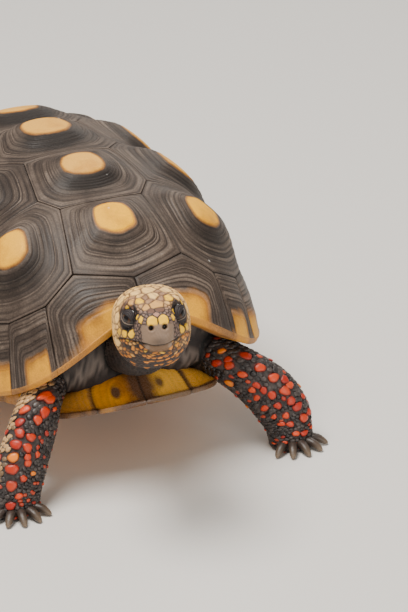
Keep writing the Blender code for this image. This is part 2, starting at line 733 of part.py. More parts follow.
def make_leg(word, side_word, stations, split, claws, heading):
    """A leg with a flat sole, parted at the elbow or knee, and its row of claws."""
    whole = new_object("leg_blank", *loft(limb_rings(stations, (0, 1, 0.4), 8, 12)), skin)
    standing = keep_side(whole, "leg_standing", Vector((0, 0, 0)), Vector((0, 0, -1)))
    bpy.data.objects.remove(whole)
    trim(standing, [trunk, plastron_blank, *rims])
    point = Vector(spline(stations, split)[:3])
    ahead = Vector(spline(stations, split + 0.02)[:3]) - Vector(spline(stations, split - 0.02)[:3])
    names = (f"{word}_{side_word}_upper", f"{word}_{side_word}_lower")
    upper, lower = part_at(standing, point, ahead, *names)
    x, y, _, reach, _ = stations[-1]
    foot = Vector((x, y, 0.0))
    for i in range(claws):
        angle = math.radians(heading + (i - (claws - 1) / 2) * 27)
        out = Vector((math.sin(angle), -math.cos(angle), 0))
        root = foot + out * (reach - 3.4) + Vector((0, 0, 3.6))
        tip = foot + out * (reach + CLAW_LENGTH - 3.4) + Vector((0, 0, 0.9))
        knuckle = root.lerp(tip, 0.5) + Vector((0, 0, 0.9))
        row = [
            (*root, CLAW_RADIUS, CLAW_RADIUS),
            (*knuckle, CLAW_RADIUS * 0.86, CLAW_RADIUS * 0.8),
            (*tip, 0.5, 0.45),
        ]
        rings = limb_rings(row, (0, 0, 1), 3, 6)
        claw = new_object(f"claw_{word}_{side_word}_{i + 1}", *loft(rings), claw_horn)
        trim(claw, [lower])
    return upper, lower


# ---------------------------------------------------------------- assembly

clear_scene()
parts = new_collection("tortoise")
cutters = new_collection("cutters", hidden=True)
horn = new_material("carapace_horn")
plastron_horn = new_material("plastron_horn")
skin = new_material("skin")
head_scales = new_material("head_scales")
eye_glass = new_material("eye")
claw_horn = new_material("claw")
shell_place = Matrix.Translation((0, 0, SHELL_CENTRE_HEIGHT * MM)) @ Matrix.Rotation(
    math.radians(-SHELL_PITCH), 4, "X"
)

trunk = make_trunk()
rims = []
for number, (corners, along) in enumerate(zip(vertebral_outlines(), VERTEBRAL_BOSSES), 1):
    horn_plate(f"vertebral_{number}", corners, plan_corner(0.0, along))
for side, word in ((1, "left"), (-1, "right")):
    for number, (corners, boss) in enumerate(zip(costal_outlines(side), COSTAL_BOSSES), 1):
        horn_plate(f"costal_{word}_{number}", corners, mirrored(plan_corner(*boss), side))
for first, last, where in ((1, 3, "front"), (4, 7, "bridge"), (8, 11, "rear")):
    for side, word in ((1, "left"), (-1, "right")):
        rims.append(rim_block(f"rim_{word}_{where}", first, last, side))
rims.append(tail_plate("rim_tail"))
plastron_blank = make_plastron()
make_head()
make_neck()
make_leg("foreleg", "left", FORELEG_LEFT, 0.6, 5, 6)
make_leg("foreleg", "right", FORELEG_RIGHT, 0.6, 5, -6)
make_leg("hindleg", "left", HINDLEG, 0.5, 4, 12)
make_leg("hindleg", "right", [(-x, *rest) for x, *rest in HINDLEG], 0.5, 4, -12)
tail = new_object("tail", *loft(limb_rings(TAIL, (0, 0, 1), 7, 8)), skin)
trim(tail, [trunk, plastron_blank, *rims])

# The origin goes to the middle of the bounding box, at floor level.
corners = np.array([v.co for piece in parts.objects for v in piece.data.vertices])
low, high = corners.min(axis=0), corners.max(axis=0)
for piece in parts.objects:
    piece.data.transform(Matrix.Translation((-(low[0] + high[0]) / 2, -(low[1] + high[1]) / 2, -low[2])))
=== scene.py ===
import math

import bpy
import numpy as np
from mathutils import Matrix, Vector


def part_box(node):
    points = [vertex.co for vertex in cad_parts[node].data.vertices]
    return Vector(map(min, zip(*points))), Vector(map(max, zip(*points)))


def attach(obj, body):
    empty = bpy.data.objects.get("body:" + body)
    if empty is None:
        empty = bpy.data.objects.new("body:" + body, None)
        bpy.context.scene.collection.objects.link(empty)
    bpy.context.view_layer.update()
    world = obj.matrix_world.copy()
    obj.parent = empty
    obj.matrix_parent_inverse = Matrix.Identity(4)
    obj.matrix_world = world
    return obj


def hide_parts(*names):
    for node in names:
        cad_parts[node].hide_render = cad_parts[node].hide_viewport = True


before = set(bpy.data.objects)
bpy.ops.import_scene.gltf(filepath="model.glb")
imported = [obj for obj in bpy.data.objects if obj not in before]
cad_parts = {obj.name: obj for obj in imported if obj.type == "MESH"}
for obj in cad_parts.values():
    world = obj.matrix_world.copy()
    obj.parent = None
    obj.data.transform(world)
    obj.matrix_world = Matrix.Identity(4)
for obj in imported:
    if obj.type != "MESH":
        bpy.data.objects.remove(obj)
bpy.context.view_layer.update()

# ---- stage
# A plain pale studio floor, lit by one broad soft lamp above, weaker ones in front and behind, and
# an even pale surround. None of it belongs to the tortoise.

CAMERA_PLACE = (-0.37822, -1.10602, 0.58839)
CAMERA_AZIMUTH, CAMERA_ELEVATION, CAMERA_ROLL = -21.266, 24.906, -2.411
CAMERA_LENS = 176.467
FLOOR_COLOUR, FLOOR_REACH = (0.74, 0.72, 0.69), 30.0
LAMP_COLOUR, SURROUND_COLOUR, SURROUND_STRENGTH = (1.0, 0.955, 0.89), (1.0, 0.97, 0.93), 0.38


def camera_axes(azimuth, elevation, roll):
    """Right, up and back axes: a turn about the vertical, a tilt down, a roll about the line of sight."""
    a, e, r = (math.radians(v) for v in (azimuth, elevation, roll))
    back = Vector((math.sin(a) * math.cos(e), -math.cos(a) * math.cos(e), math.sin(e)))
    right = Vector((math.cos(a), math.sin(a), 0.0))
    up = back.cross(right)
    return math.cos(r) * right + math.sin(r) * up, math.cos(r) * up - math.sin(r) * right, back


camera_data = bpy.data.cameras.new("camera")
camera_data.sensor_fit = "VERTICAL"
camera_data.sensor_height = 36.0
camera_data.lens = CAMERA_LENS
camera = bpy.data.objects.new("camera", camera_data)
right, up, back = camera_axes(CAMERA_AZIMUTH, CAMERA_ELEVATION, CAMERA_ROLL)
camera.matrix_world = Matrix.Translation(CAMERA_PLACE) @ Matrix((right, up, back)).transposed().to_4x4()
bpy.context.scene.collection.objects.link(camera)
bpy.context.scene.camera = camera

for name, place, aim, width, power in (
    ("lamp_above", (-0.3, -0.1, 1.3), (0, 0, 0.05), 0.7, 27.0),
    ("lamp_front", (0.25, -1.6, 0.45), (0, -0.05, 0.05), 0.8, 9.0),
    ("lamp_behind", (0.9, 1.0, 0.9), (0, 0, 0.05), 0.7, 5.0),
):
    lamp = bpy.data.lights.new(name, "AREA")
    lamp.shape = "DISK"
    lamp.size = width
    lamp.energy = power
    lamp.color = LAMP_COLOUR
    lamp_object = bpy.data.objects.new(name, lamp)
    sight = (Vector(aim) - Vector(place)).to_track_quat("-Z", "Y")
    lamp_object.matrix_world = Matrix.Translation(place) @ sight.to_matrix().to_4x4()
    bpy.context.scene.collection.objects.link(lamp_object)

surround = bpy.data.worlds.new("surround")
surround.use_nodes = True
surround.node_tree.nodes["Background"].inputs["Color"].default_value = (*SURROUND_COLOUR, 1.0)
surround.node_tree.nodes["Background"].inputs["Strength"].default_value = SURROUND_STRENGTH
bpy.context.scene.world = surround

floor_mesh = bpy.data.meshes.new("floor")
floor_corners = [(x * FLOOR_REACH, y * FLOOR_REACH, 0) for x, y in ((-1, -1), (1, -1), (1, 1), (-1, 1))]
floor_mesh.from_pydata(floor_corners, [], [(0, 1, 2, 3)])
floor = bpy.data.objects.new("floor", floor_mesh)
floor_material = bpy.data.materials.new("floor_matt")
floor_material.use_nodes = True
floor_shader = floor_material.node_tree.nodes["Principled BSDF"]
floor_shader.inputs["Base Color"].default_value = (*FLOOR_COLOUR, 1.0)
floor_shader.inputs["Roughness"].default_value = 0.9
floor_mesh.materials.append(floor_material)
bpy.context.scene.collection.objects.link(floor)

# ---- the shell's dome
# The shell is a bony dome under horn plates. Its plan is a waisted superellipse, its sections are
# superelliptic, and its lower edge flares and arches over the neck and the hind legs.

MM = 0.001
DOME_HALF_LENGTH, DOME_HALF_WIDTH, DOME_HEIGHT, REAR_RISE = 106.0, 69.0, 73.0, 7.0
WAIST, WAIST_AZIMUTH, WAIST_SPREAD = 5.5, 98.0, 42.0
PLAN_POWER, DOME_POWER = 2.5, 2.2
SHELL_CENTRE_HEIGHT, SHELL_PITCH = 42.0, 5.0
RIM_HEIGHT, FRONT_ARCH_RISE, FRONT_ARCH_SPREAD = -7.0, 34.0, 23.0
HIND_ARCH_RISE, HIND_ARCH_AZIMUTH, HIND_ARCH_SPREAD = 6.0, 140.0, 18.0
FLARE_ENDS, FLARE_SIDES, FLARE_FADE = 5.0, 2.5, 8.0
FRONT_NOTCH, FRONT_NOTCH_SPREAD = 2.5, 7.0

# The model's origin is the middle of its box, so the eye's box places the shell's frame in it.
CHEEK_CENTRE, HEAD_TURN, HEAD_PITCH = np.array((-11.2, -138.0, 90.0)), -14.0, 23.0
CHEEK_DISTANCE, EYE_SIDE, EYE_DISTANCE, EYE_RISE = 27.0, 7.8, 13.0, 3.2


def turned(points, angle, axis):
    """Points turned about the x or z axis by an angle in degrees."""
    c, s = math.cos(math.radians(angle)), math.sin(math.radians(angle))
    turn = {"X": ((1, 0, 0), (0, c, -s), (0, s, c)), "Z": ((c, -s, 0), (s, c, 0), (0, 0, 1))}[axis]
    return np.asarray(points, float) @ np.array(turn).T


def from_head(points):
    """From the head's frame (+X its left, +Y behind the snout's tip, +Z its crown) to the body's."""
    ahead = turned(turned((0, -1, 0), -HEAD_PITCH, "X"), HEAD_TURN, "Z")
    return turned(turned(points, -HEAD_PITCH, "X"), HEAD_TURN, "Z") + CHEEK_CENTRE + ahead * CHEEK_DISTANCE


def from_shell(points):
    """From the shell's frame (origin amid the rim's plane, tipped up in front) to the body's."""
    return turned(points, -SHELL_PITCH, "X") + np.array((0, 0, SHELL_CENTRE_HEIGHT))


eye_low, eye_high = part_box("eye_left")
ORIGIN = from_head((EYE_SIDE, EYE_DISTANCE, EYE_RISE)) * MM - np.array((eye_low + eye_high) / 2)


def bell(value, middle, spread):
    """1 at the middle, falling away as the exponential of minus the squared distance over the spread."""
    return np.exp(-(((value - middle) / spread) ** 2))


def plan_radius(azimuth):
    """The plan's reach at an azimuth: a superellipse of the half length and the waisted half width."""
    half_width = DOME_HALF_WIDTH - WAIST * bell(azimuth, WAIST_AZIMUTH, WAIST_SPREAD)
    side = np.abs(np.sin(np.radians(azimuth))) / half_width
    along = np.abs(np.cos(np.radians(azimuth))) / DOME_HALF_LENGTH
    return (side**PLAN_POWER + along**PLAN_POWER) ** (-1 / PLAN_POWER)


def rim_level(azimuth):
    """The rim's height: low at the bridge, arched over the neck, a little over the hind legs."""
    level = RIM_HEIGHT + FRONT_ARCH_RISE * bell(azimuth, 0, FRONT_ARCH_SPREAD)
    return level + HIND_ARCH_RISE * bell(azimuth, HIND_ARCH_AZIMUTH, HIND_ARCH_SPREAD)


def rim_elevation(azimuth):
    """The rim's height as an angle up from the shell's centre."""
    return np.degrees(np.arctan2(rim_level(azimuth), plan_radius(azimuth)))


def at_ends(azimuth, ends, sides):
    """A value that is `ends` at the front and rear and `sides` at the bridge."""
    share = np.minimum(1.0, np.abs(np.cos(np.radians(azimuth))) * 1.4) ** 2
    return sides + (ends - sides) * share


def dome_radius(d):
    """Distance from the shell's centre to the dome along unit directions: on it (level / plan)^p plus
    (height / rise)^p is 1, and a flare that dies away upwards is added at the rim."""
    azimuth = np.degrees(np.arctan2(np.abs(d[..., 0]), -d[..., 1]))
    level = np.hypot(d[..., 0], d[..., 1])
    height = DOME_HEIGHT + REAR_RISE * np.maximum(d[..., 1], 0.0)
    power = (level / plan_radius(azimuth)) ** DOME_POWER + (np.abs(d[..., 2]) / height) ** DOME_POWER
    above_rim = np.degrees(np.arcsin(np.clip(d[..., 2], -1, 1))) - rim_elevation(azimuth)
    flare = at_ends(azimuth, FLARE_ENDS, FLARE_SIDES) - FRONT_NOTCH * bell(azimuth, 0, FRONT_NOTCH_SPREAD)
    return power ** (-1 / DOME_POWER) + flare * np.exp(-np.maximum(above_rim, 0.0) / FLARE_FADE)


def on_dome(points, proud=0.0):
    """Each point moved along its own direction to the dome, and `proud` millimetres further."""
    points = np.asarray(points, float)
    d = points / np.linalg.norm(points, axis=-1, keepdims=True)
    return d * (dome_radius(d) + proud)[..., None]


# ---- horn
# Keratin plates: dull grey-brown, with a growth ridge for each spell of growth, lighter and dusty on the
# ridge tops and dark in the grooves, round the pale plate that the animal hatched with.

GRAIN_SCALE, STAIN_SCALE, SPECK_SCALE = 1500.0, 70.0, 130.0


def calculate(tree, operation, *values, clamp=False):
    """The socket of one operation on sockets and numbers."""
    node = tree.nodes.new("ShaderNodeMath")
    node.operation = operation
    node.use_clamp = clamp
    for socket, value in zip(node.inputs, values):
        if isinstance(value, bpy.types.NodeSocket):
            tree.links.new(value, socket)
        else:
            socket.default_value = value
    return node.outputs[0]


def remap(tree, value, low, high, new_low=0.0, new_high=1.0):
    """The socket of a value's run from low to high made a run from new_low to new_high."""
    node = tree.nodes.new("ShaderNodeMapRange")
    node.inputs["From Min"].default_value, node.inputs["From Max"].default_value = low, high
    node.inputs["To Min"].default_value, node.inputs["To Max"].default_value = new_low, new_high
    tree.links.new(value, node.inputs["Value"])
    return node.outputs["Result"]


def scaled_by(tree, vector, amount):
    """The socket of a vector or a colour times an amount."""
    node = tree.nodes.new("ShaderNodeVectorMath")
    node.operation = "SCALE"
    tree.links.new(vector, node.inputs[0])
    tree.links.new(amount, node.inputs["Scale"])
    return node.outputs[0]


def make_weathering():
    """Fine grain, broad stains and sparse pale specks, as masks and a height, from Object coordinates."""
    group = bpy.data.node_groups.new("weathering", "ShaderNodeTree")
    size_input = group.interface.new_socket(name="Scale", in_out="INPUT", socket_type="NodeSocketFloat")
    size_input.default_value = 1.0
    for name in ("Grain", "Stain", "Speck", "Height"):
        group.interface.new_socket(name=name, in_out="OUTPUT", socket_type="NodeSocketFloat")
    nodes, links = group.nodes, group.links
    entry, leave = nodes.new("NodeGroupInput"), nodes.new("NodeGroupOutput")
    place = nodes.new("ShaderNodeTexCoord").outputs["Object"]
    scaled = scaled_by(group, place, entry.outputs["Scale"])
    for name, scale, detail, rough in (("Grain", GRAIN_SCALE, 3.0, 0.6), ("Stain", STAIN_SCALE, 5.0, 0.62)):
        noise = nodes.new("ShaderNodeTexNoise")
        noise.inputs["Scale"].default_value = scale
        noise.inputs["Detail"].default_value = detail
        noise.inputs["Roughness"].default_value = rough
        links.new(scaled, noise.inputs["Vector"])
        links.new(noise.outputs["Fac"], leave.inputs[name])
        if name == "Grain":
            links.new(noise.outputs["Fac"], leave.inputs["Height"])
    cells = nodes.new("ShaderNodeTexVoronoi")
    cells.inputs["Scale"].default_value = SPECK_SCALE
    links.new(scaled, cells.inputs["Vector"])
    speck = remap(group, cells.outputs["Distance"], 0.10, 0.04)
    rare = remap(group, cells.outputs["Color"], 0.80, 0.84)
    links.new(calculate(group, "MULTIPLY", speck, rare), leave.inputs["Speck"])
    return group


weathering = make_weathering()


def mix_colour(tree, below, above, mask):
    """A colour mix node. below and above are colours or sockets, mask a number or a socket."""
    node = tree.nodes.new("ShaderNodeMix")
    node.data_type = "RGBA"
    for index, value in ((6, below), (7, above), (0, mask)):
        if isinstance(value, bpy.types.NodeSocket):
            tree.links.new(value, node.inputs[index])
        else:
            node.inputs[index].default_value = value if index == 0 else (*value, 1.0)
    return node.outputs[2]


def read_mark(tree, name):
    """The socket of a mark on the points."""
    node = tree.nodes.new("ShaderNodeAttribute")
    node.attribute_name = name
    return node.outputs["Fac"]


def new_finish(name, roughness, specular):
    """A material with its tree, its shader and a weathering node."""
    material = bpy.data.materials.new(name)
    material.use_nodes = True
    tree = material.node_tree
    shader = tree.nodes["Principled BSDF"]
    shader.inputs["Roughness"].default_value = roughness
    shader.inputs["Specular IOR Level"].default_value = specular
    worn = tree.nodes.new("ShaderNodeGroup")
    worn.node_tree = weathering
    return material, tree, shader, worn


def add_bump(tree, shader, height, strength, distance):
    """Fine relief that is too small for the mesh."""
    bump = tree.nodes.new("ShaderNodeBump")
    bump.inputs["Strength"].default_value = strength
    bump.inputs["Distance"].default_value = distance
    tree.links.new(height, bump.inputs["Height"])
    tree.links.new(bump.outputs["Normal"], shader.inputs["Normal"])


HORN_DARK, HORN_MID, HORN_LIGHT = (0.022, 0.015, 0.012), (0.080, 0.058, 0.045), (0.235, 0.18, 0.142)
PALE_CORE, GOLD_CORE, PALE_EDGE = (0.74, 0.38, 0.07), (0.92, 0.45, 0.0), (0.50, 0.19, 0.010)
RIM_TAN = (0.52, 0.22, 0.035)
HORN_STAIN_AND_SHADE, HORN_SPECK = (0.012, 0.009, 0.008), (0.8, 0.78, 0.74)


def make_horn():
    """Marks: ridge (0 groove, 1 top), pale (hatchling plate) and how gold it is, warm (tan edge), soot (a
    dark stain with painted shade).
    """
    material, tree, shader, worn = new_finish("ridged_horn", 0.5, 0.28)
    ridge, pale, warm, soot = (read_mark(tree, m) for m in ("ridge", "pale", "warm", "soot"))
    grain, stain, speck = (worn.outputs[n] for n in ("Grain", "Stain", "Speck"))
    patchy = remap(tree, stain, 0.30, 0.62, 0.45, 1.25)
    groove = calculate(tree, "MULTIPLY", remap(tree, ridge, 0.05, 0.60), patchy, clamp=True)
    colour = mix_colour(tree, HORN_DARK, HORN_MID, groove)
    patchy = remap(tree, stain, 0.40, 0.66, 0.12, 1.0)
    dusty = calculate(tree, "MULTIPLY", remap(tree, ridge, 0.40, 1.0), patchy)
    colour = mix_colour(tree, colour, HORN_LIGHT, dusty)
    # Painted shade with a dark stain: darker in front of each boss and on the walls down into the seams.
    colour = mix_colour(tree, colour, HORN_STAIN_AND_SHADE, remap(tree, soot, 0.0, 1.0, 0.0, 0.9))
    patchy = remap(tree, stain, 0.34, 0.54, 0.45, 1.0)
    inner = calculate(tree, "MULTIPLY", patchy, remap(tree, pale, 0.50, 1.0))
    golden = mix_colour(tree, PALE_CORE, GOLD_CORE, read_mark(tree, "gold"))
    core = mix_colour(tree, PALE_EDGE, golden, inner)
    ragged = calculate(tree, "ADD", pale, remap(tree, stain, 0.3, 0.7, -0.16, 0.16))
    colour = mix_colour(tree, colour, core, remap(tree, ragged, 0.18, 0.85))
    rim = calculate(tree, "ADD", warm, remap(tree, stain, 0.3, 0.7, -0.3, 0.3))
    rim = calculate(tree, "MULTIPLY", remap(tree, rim, 0.35, 0.9), warm)
    colour = mix_colour(tree, colour, RIM_TAN, rim)
    colour = mix_colour(tree, colour, HORN_SPECK, calculate(tree, "MULTIPLY", speck, 0.5))
    amount = remap(tree, pale, 0.0, 1.0, 0.36, 0.10)
    shade = calculate(tree, "MULTIPLY_ADD", remap(tree, grain, 0.25, 0.75, -1.0, 1.0), amount, 1.0)
    tree.links.new(scaled_by(tree, colour, shade), shader.inputs["Base Color"])
    tree.links.new(remap(tree, stain, 0.3, 0.7, 0.42, 0.62), shader.inputs["Roughness"])
    add_bump(tree, shader, worn.outputs["Height"], 0.35, 0.0003)
    return material


horn = make_horn()

# ---- growth ridges
# A plate grows by a new ridge of horn all round its border in each spell of growth. The ridges are uneven in
# width and height, finely striated, and parted by sharp grooves.

PLATE, SEAM, BOSS, HATCHLING_LEVEL = 2.5, 0.05, 4.2, 0.6


def ramp(value, low, high):
    """A smooth step from 0 at low to 1 at high."""
    t = np.clip((value - low) / (high - low), 0.0, 1.0)
    return t * t * (3 - 2 * t)


def new_mesh(name, points, faces):
    """A mesh and its corners' points, from points and faces: arrays of index rows, one length in each."""
    mesh = bpy.data.meshes.new(name)
    corners = np.concatenate([f.ravel() for f in faces]).astype(np.int32)
    lengths = np.concatenate([np.full(len(f), f.shape[1], np.int32) for f in faces])
    mesh.vertices.add(len(points))
    mesh.vertices.foreach_set("co", points.astype(np.float32).ravel())
    mesh.loops.add(len(corners))
    mesh.loops.foreach_set("vertex_index", corners)
    mesh.polygons.add(len(lengths))
    starts = np.concatenate([[0], np.cumsum(lengths)[:-1]])
    mesh.polygons.foreach_set("loop_start", starts.astype(np.int32))
    mesh.update(calc_edges=True)
    return mesh, corners


def add_marks(mesh, marks):
    """Named numbers on the mesh's points, for its material to read."""
    for mark, values in marks.items():
        layer = mesh.attributes.new(mark, "FLOAT", "POINT")
        layer.data.foreach_set("value", np.ascontiguousarray(values, np.float32))


def add_piece(name, points, faces, material, slot, nodes, marks, patches=None):
    """A finished piece in the place of the nodes named, from millimetre points in the body's frame, with its
    marks and, if given, each point's place in the OFBake map."""
    mesh, corners = new_mesh(name, points * MM - ORIGIN, faces)
    if patches is not None:
        bake_map = mesh.uv_layers.new(name="OFBake")
        bake_map.data.foreach_set("uv", patches[corners].astype(np.float32).ravel())
    mesh.validate()
    mesh.shade_smooth()
    mesh.materials.append(material)
    add_marks(mesh, marks)
    piece = bpy.data.objects.new(name, mesh)
    bpy.context.scene.collection.objects.link(piece)
    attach(piece, "root")
    if nodes:
        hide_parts(*nodes)


def grid_faces(rows, columns, start=0):
    """Quads between rows of points laid one after another, each row closed on itself."""
    row, column = np.meshgrid(np.arange(rows - 1), np.arange(columns), indexing="ij")
    after = (column + 1) % columns
    low, high = start + row * columns, start + (row + 1) * columns
    return np.stack([low + column, low + after, high + after, high + column], axis=-1).reshape(-1, 4)


def fan_faces(centre, ring, outward=True):
    """Triangles from a point to a closed ring of points."""
    after = np.roll(ring, -1)
    middle = np.full(len(ring), centre)
    order = (middle, ring, after) if outward else (middle, after, ring)
    return np.stack(order, axis=-1)


def ring_table(seed, count):
    """(age shares, heights from 0 to 1): each ridge is a power of half a sine wave, less a faster squared
    one for its striae."""
    random = np.random.default_rng(seed)
    edges = np.concatenate([[0], np.cumsum(random.uniform(0.35, 1.8, count))])
    edges /= edges[-1]
    tall = random.uniform(0.35, 1.0, count)
    share = np.linspace(0, 1, 6000)
    ring = np.clip(np.searchsorted(edges, share, side="right") - 1, 0, count - 1)
    local = (share - edges[ring]) / (edges[ring + 1] - edges[ring])
    rounded = np.sin(np.pi * local**0.75) ** 0.55
    fine = 0.24 * np.sin(np.pi * local * random.integers(2, 5, count)[ring]) ** 2
    return share, np.clip(tall[ring] * (rounded - fine), 0, 1)


def wobble(angle, random, size, waves=7):
    """A smooth closed wave round a plate: a few sines of whole numbers of turns."""
    total = np.zeros_like(angle)
    for k in range(1, waves):
        total += random.normal() / k * np.sin(k * angle + random.uniform(0, 2 * np.pi))
    return total * size


def even_border(corners, count):
    """`count` points evenly spaced round the loop of corners, in equal steps on each side."""
    corners = np.asarray(corners)
    closed = np.concatenate([corners, corners[:1]])
    lengths = np.linalg.norm(np.diff(closed, axis=0), axis=1)
    at = np.concatenate([[0], np.cumsum(lengths)])
    wanted = np.arange(count) / count * at[-1]
    return np.stack([np.interp(wanted, at, closed[:, k]) for k in range(3)], axis=-1)


RIDGE_HEIGHT, EDGE_ROUNDING, HOLLOW = 0.34, 0.22, 1.6
HATCHLING_ROWS, SOFT_REACH, SOFT_SPREAD = 15, 26, 9.0


def horn_plate(name, corners, middle, hatch, seed, soot, gold, rings=11, around=260, rows=118):
    """A plate that grew by rings. Its outline at age t is the hatchling plate's outline, which is the border
    shrunk and rounded to `hatch` of its size round `middle`, moved straight to the border as t goes to 1.
    It stands proud by the boss times half a cosine of t, and by the ridges, and its edge is rounded."""
    random = np.random.default_rng(seed)
    border = even_border(corners, around)
    centre = border.mean(axis=0)
    if np.cross(border - centre, np.roll(border, -1, axis=0) - centre).sum(axis=0) @ centre < 0:
        border = border[::-1].copy()
    border += (centre - border) / np.linalg.norm(centre - border, axis=1, keepdims=True) * SEAM
    angle = np.arange(around) / around * 2 * np.pi
    outer = border - centre
    spread = np.linalg.norm(outer, axis=1, keepdims=True)
    hatchling = middle + hatch * (0.25 * outer + 0.75 * outer / spread * spread.mean())
    hatchling += (outer / spread) * wobble(angle, random, 0.35)[:, None]
    core = np.linspace(0.0, 1.0, HATCHLING_ROWS)[1:]
    growth = np.linspace(0.0, 1.0, rows)[1:]
    skew = wobble(angle, random, 0.010, 12)
    strength = 0.75 + wobble(angle, random, 0.22, 16)
    share, table = ring_table(seed, rings)
    steps = np.arange(-SOFT_REACH, SOFT_REACH + 1)
    weights = np.exp(-0.5 * (steps / SOFT_SPREAD) ** 2)
    soft = sum(w * np.roll(border, k, axis=0) for k, w in zip(steps, weights / weights.sum()))
    reach = np.linalg.norm(border - hatchling, axis=1)
    ahead = np.clip(-outer[:, 1] / spread[:, 0], 0, 1)
    made = {"points": [], "ridge": [], "pale": [], "soot": []}

    def add_row(row, *levels):
        """A row of points with its ridge, pale and soot marks."""
        made["points"].append(row)
        for mark, level in zip(("ridge", "pale", "soot"), levels):
            made[mark].append(np.full(len(row), level))

    add_row(on_dome(middle, BOSS)[None], HATCHLING_LEVEL, 1.0, 0.0)
    for s in core:
        flat = middle + (hatchling - middle) * s
        add_row(on_dome(flat, BOSS * (1 - 0.06 * s**2)), HATCHLING_LEVEL, 1.0, 0.0)
    for t in growth:
        flat = hatchling + (soft + (border - soft) * t**5 - hatchling) * t
        drop = 0.5 + 0.5 * np.cos(np.pi * t ** (1.0 - 0.45 * ahead))
        hollow = ahead * HOLLOW * bell(t, 0.54, 0.3)
        age = np.clip(t + skew * math.sin(math.pi * t), 0, 1)
        height = np.interp(age, share, table)
        uneven = np.clip(strength + 0.3 * np.sin(9 * t + 3 * np.sin(2 * angle)), 0.25, 1.2)
        height = 0.55 + (height - 0.55) * uneven
        edge = np.clip((t - 1) * reach / EDGE_ROUNDING + 1, 0, 1)
        rounding = EDGE_ROUNDING * (1 - np.sqrt(1 - edge**2 * 0.96))
        fade = ramp(t, 0.0, 0.05)
        proud = BOSS * 0.94 * drop - hollow - rounding + RIDGE_HEIGHT * (height - HATCHLING_LEVEL) * fade
        level = np.clip(height * fade + HATCHLING_LEVEL * (1 - fade), 0, 1)
        # Painted shade with a dark stain on the slope in front of the boss, strongest just below the
        # hatchling plate.
        dark = np.clip(1.5 * soot * ahead**0.8 * bell(t, 0.33, 0.27), 0, 1)
        add_row(on_dome(flat, proud), level, 1 - ramp(t + 0.5 * skew, 0.0, 0.17), dark)
    # The walls down into the seam carry a little of the same dark mark of stain and painted shade.
    for sink in (1.6, PLATE):
        add_row(on_dome(border, -sink), 0.0, 0.0, 0.35)
    add_row(on_dome(centre, -PLATE)[None], 0.0, 0.0, 0.0)
    total = len(core) + len(growth) + 2
    last = 1 + total * around
    faces = [
        fan_faces(0, 1 + np.arange(around)),
        grid_faces(total, around, 1)[:, ::-1],
        fan_faces(last, last - around + np.arange(around), outward=False),
    ]
    marks = {mark: np.concatenate(rows) for mark, rows in made.items()}
    points = from_shell(marks.pop("points"))
    marks |= {"warm": np.zeros(last + 1), "gold": np.full(last + 1, gold)}
    add_piece(f"{name}_horn", points, faces, horn, "carapace_horn", [name], marks)


# ---- plates of the top
# Five plates run down the back and four down each flank, parted by narrow seams. Each is horn over bone, its
# middle raised where the hatchling's plate was.

VERTEBRAL_JOINTS = ((0.26, -0.57), (0.28, -0.195), (0.28, 0.19), (0.22, 0.55))
COSTAL_JOINTS = ((0.35, -0.48), (0.42, -0.05), (0.38, 0.33))
FIRST_PLATE_CORNER, FRONT_MIDDLE = (0.34, -0.82), (0.0, -0.885)
VERTEBRAL_BOSSES = (-0.68, -0.36, 0.045, 0.40, 0.73)
COSTAL_BOSSES = ((0.60, -0.595), (0.68, -0.20), (0.67, 0.20), (0.56, 0.58))
RIM_TOP_JOINTS = (
    (22.6, 17.9), (32.5, 13.9), (48.0, 12.6), (63.0, 12.6), (78.0, 12.8), (93.0, 13.0),
    (108.0, 13.2), (122.0, 13.8), (136.0, 15.0), (151.0, 17.0), (167.0, 21.0),
)
COSTAL_FEET = ((67.0, 12.6), (96.0, 13.1), (125.0, 14.0), (158.0, 18.8))


def direction_at(azimuth, elevation, side):
    """Unit direction from the shell's centre. The azimuth runs from the front to the rear on each side."""
    a, e = np.radians(azimuth), np.radians(elevation)
    return np.stack([side * np.sin(a) * np.cos(e), -np.cos(a) * np.cos(e), np.sin(e)], axis=-1)


def plan_corner(across, along):
    """A seam corner of the top from its place in plan, as shares of the half width and half length."""
    out = (abs(across) ** PLAN_POWER + abs(along) ** PLAN_POWER) ** (1 / PLAN_POWER)
    height = DOME_HEIGHT * (1 - min(out, 0.999) ** DOME_POWER) ** (1 / DOME_POWER)
    return on_dome((across * DOME_HALF_WIDTH, along * DOME_HALF_LENGTH, height))


def mirrored(point, side):
    """A point of the left side, or its mirror image on the right."""
    return np.asarray(point) * (side, 1, 1)


joints = {s: [mirrored(plan_corner(*j), s) for j in VERTEBRAL_JOINTS] for s in (1, -1)}
waists = {s: [mirrored(plan_corner(*j), s) for j in COSTAL_JOINTS] for s in (1, -1)}
first_corner = {s: mirrored(plan_corner(*FIRST_PLATE_CORNER), s) for s in (1, -1)}
feet = {s: [on_dome(direction_at(*f, s)) for f in COSTAL_FEET] for s in (1, -1)}
rim_joints = {s: [on_dome(direction_at(*j, s)) for j in RIM_TOP_JOINTS] for s in (1, -1)}

front_middle = plan_corner(*FRONT_MIDDLE)
vertebral_loops = [[front_middle, first_corner[1], joints[1][0], joints[-1][0], first_corner[-1]]]
for i in range(3):
    vertebral_loops.append(
        [joints[1][i], waists[1][i], joints[1][i + 1], joints[-1][i + 1], waists[-1][i], joints[-1][i]]
    )
vertebral_loops.append(
    [joints[1][3], feet[1][3], rim_joints[1][10], rim_joints[-1][10], feet[-1][3], joints[-1][3]]
)
VERTEBRAL_HATCH = (0.30, 0.30, 0.32, 0.32, 0.28)
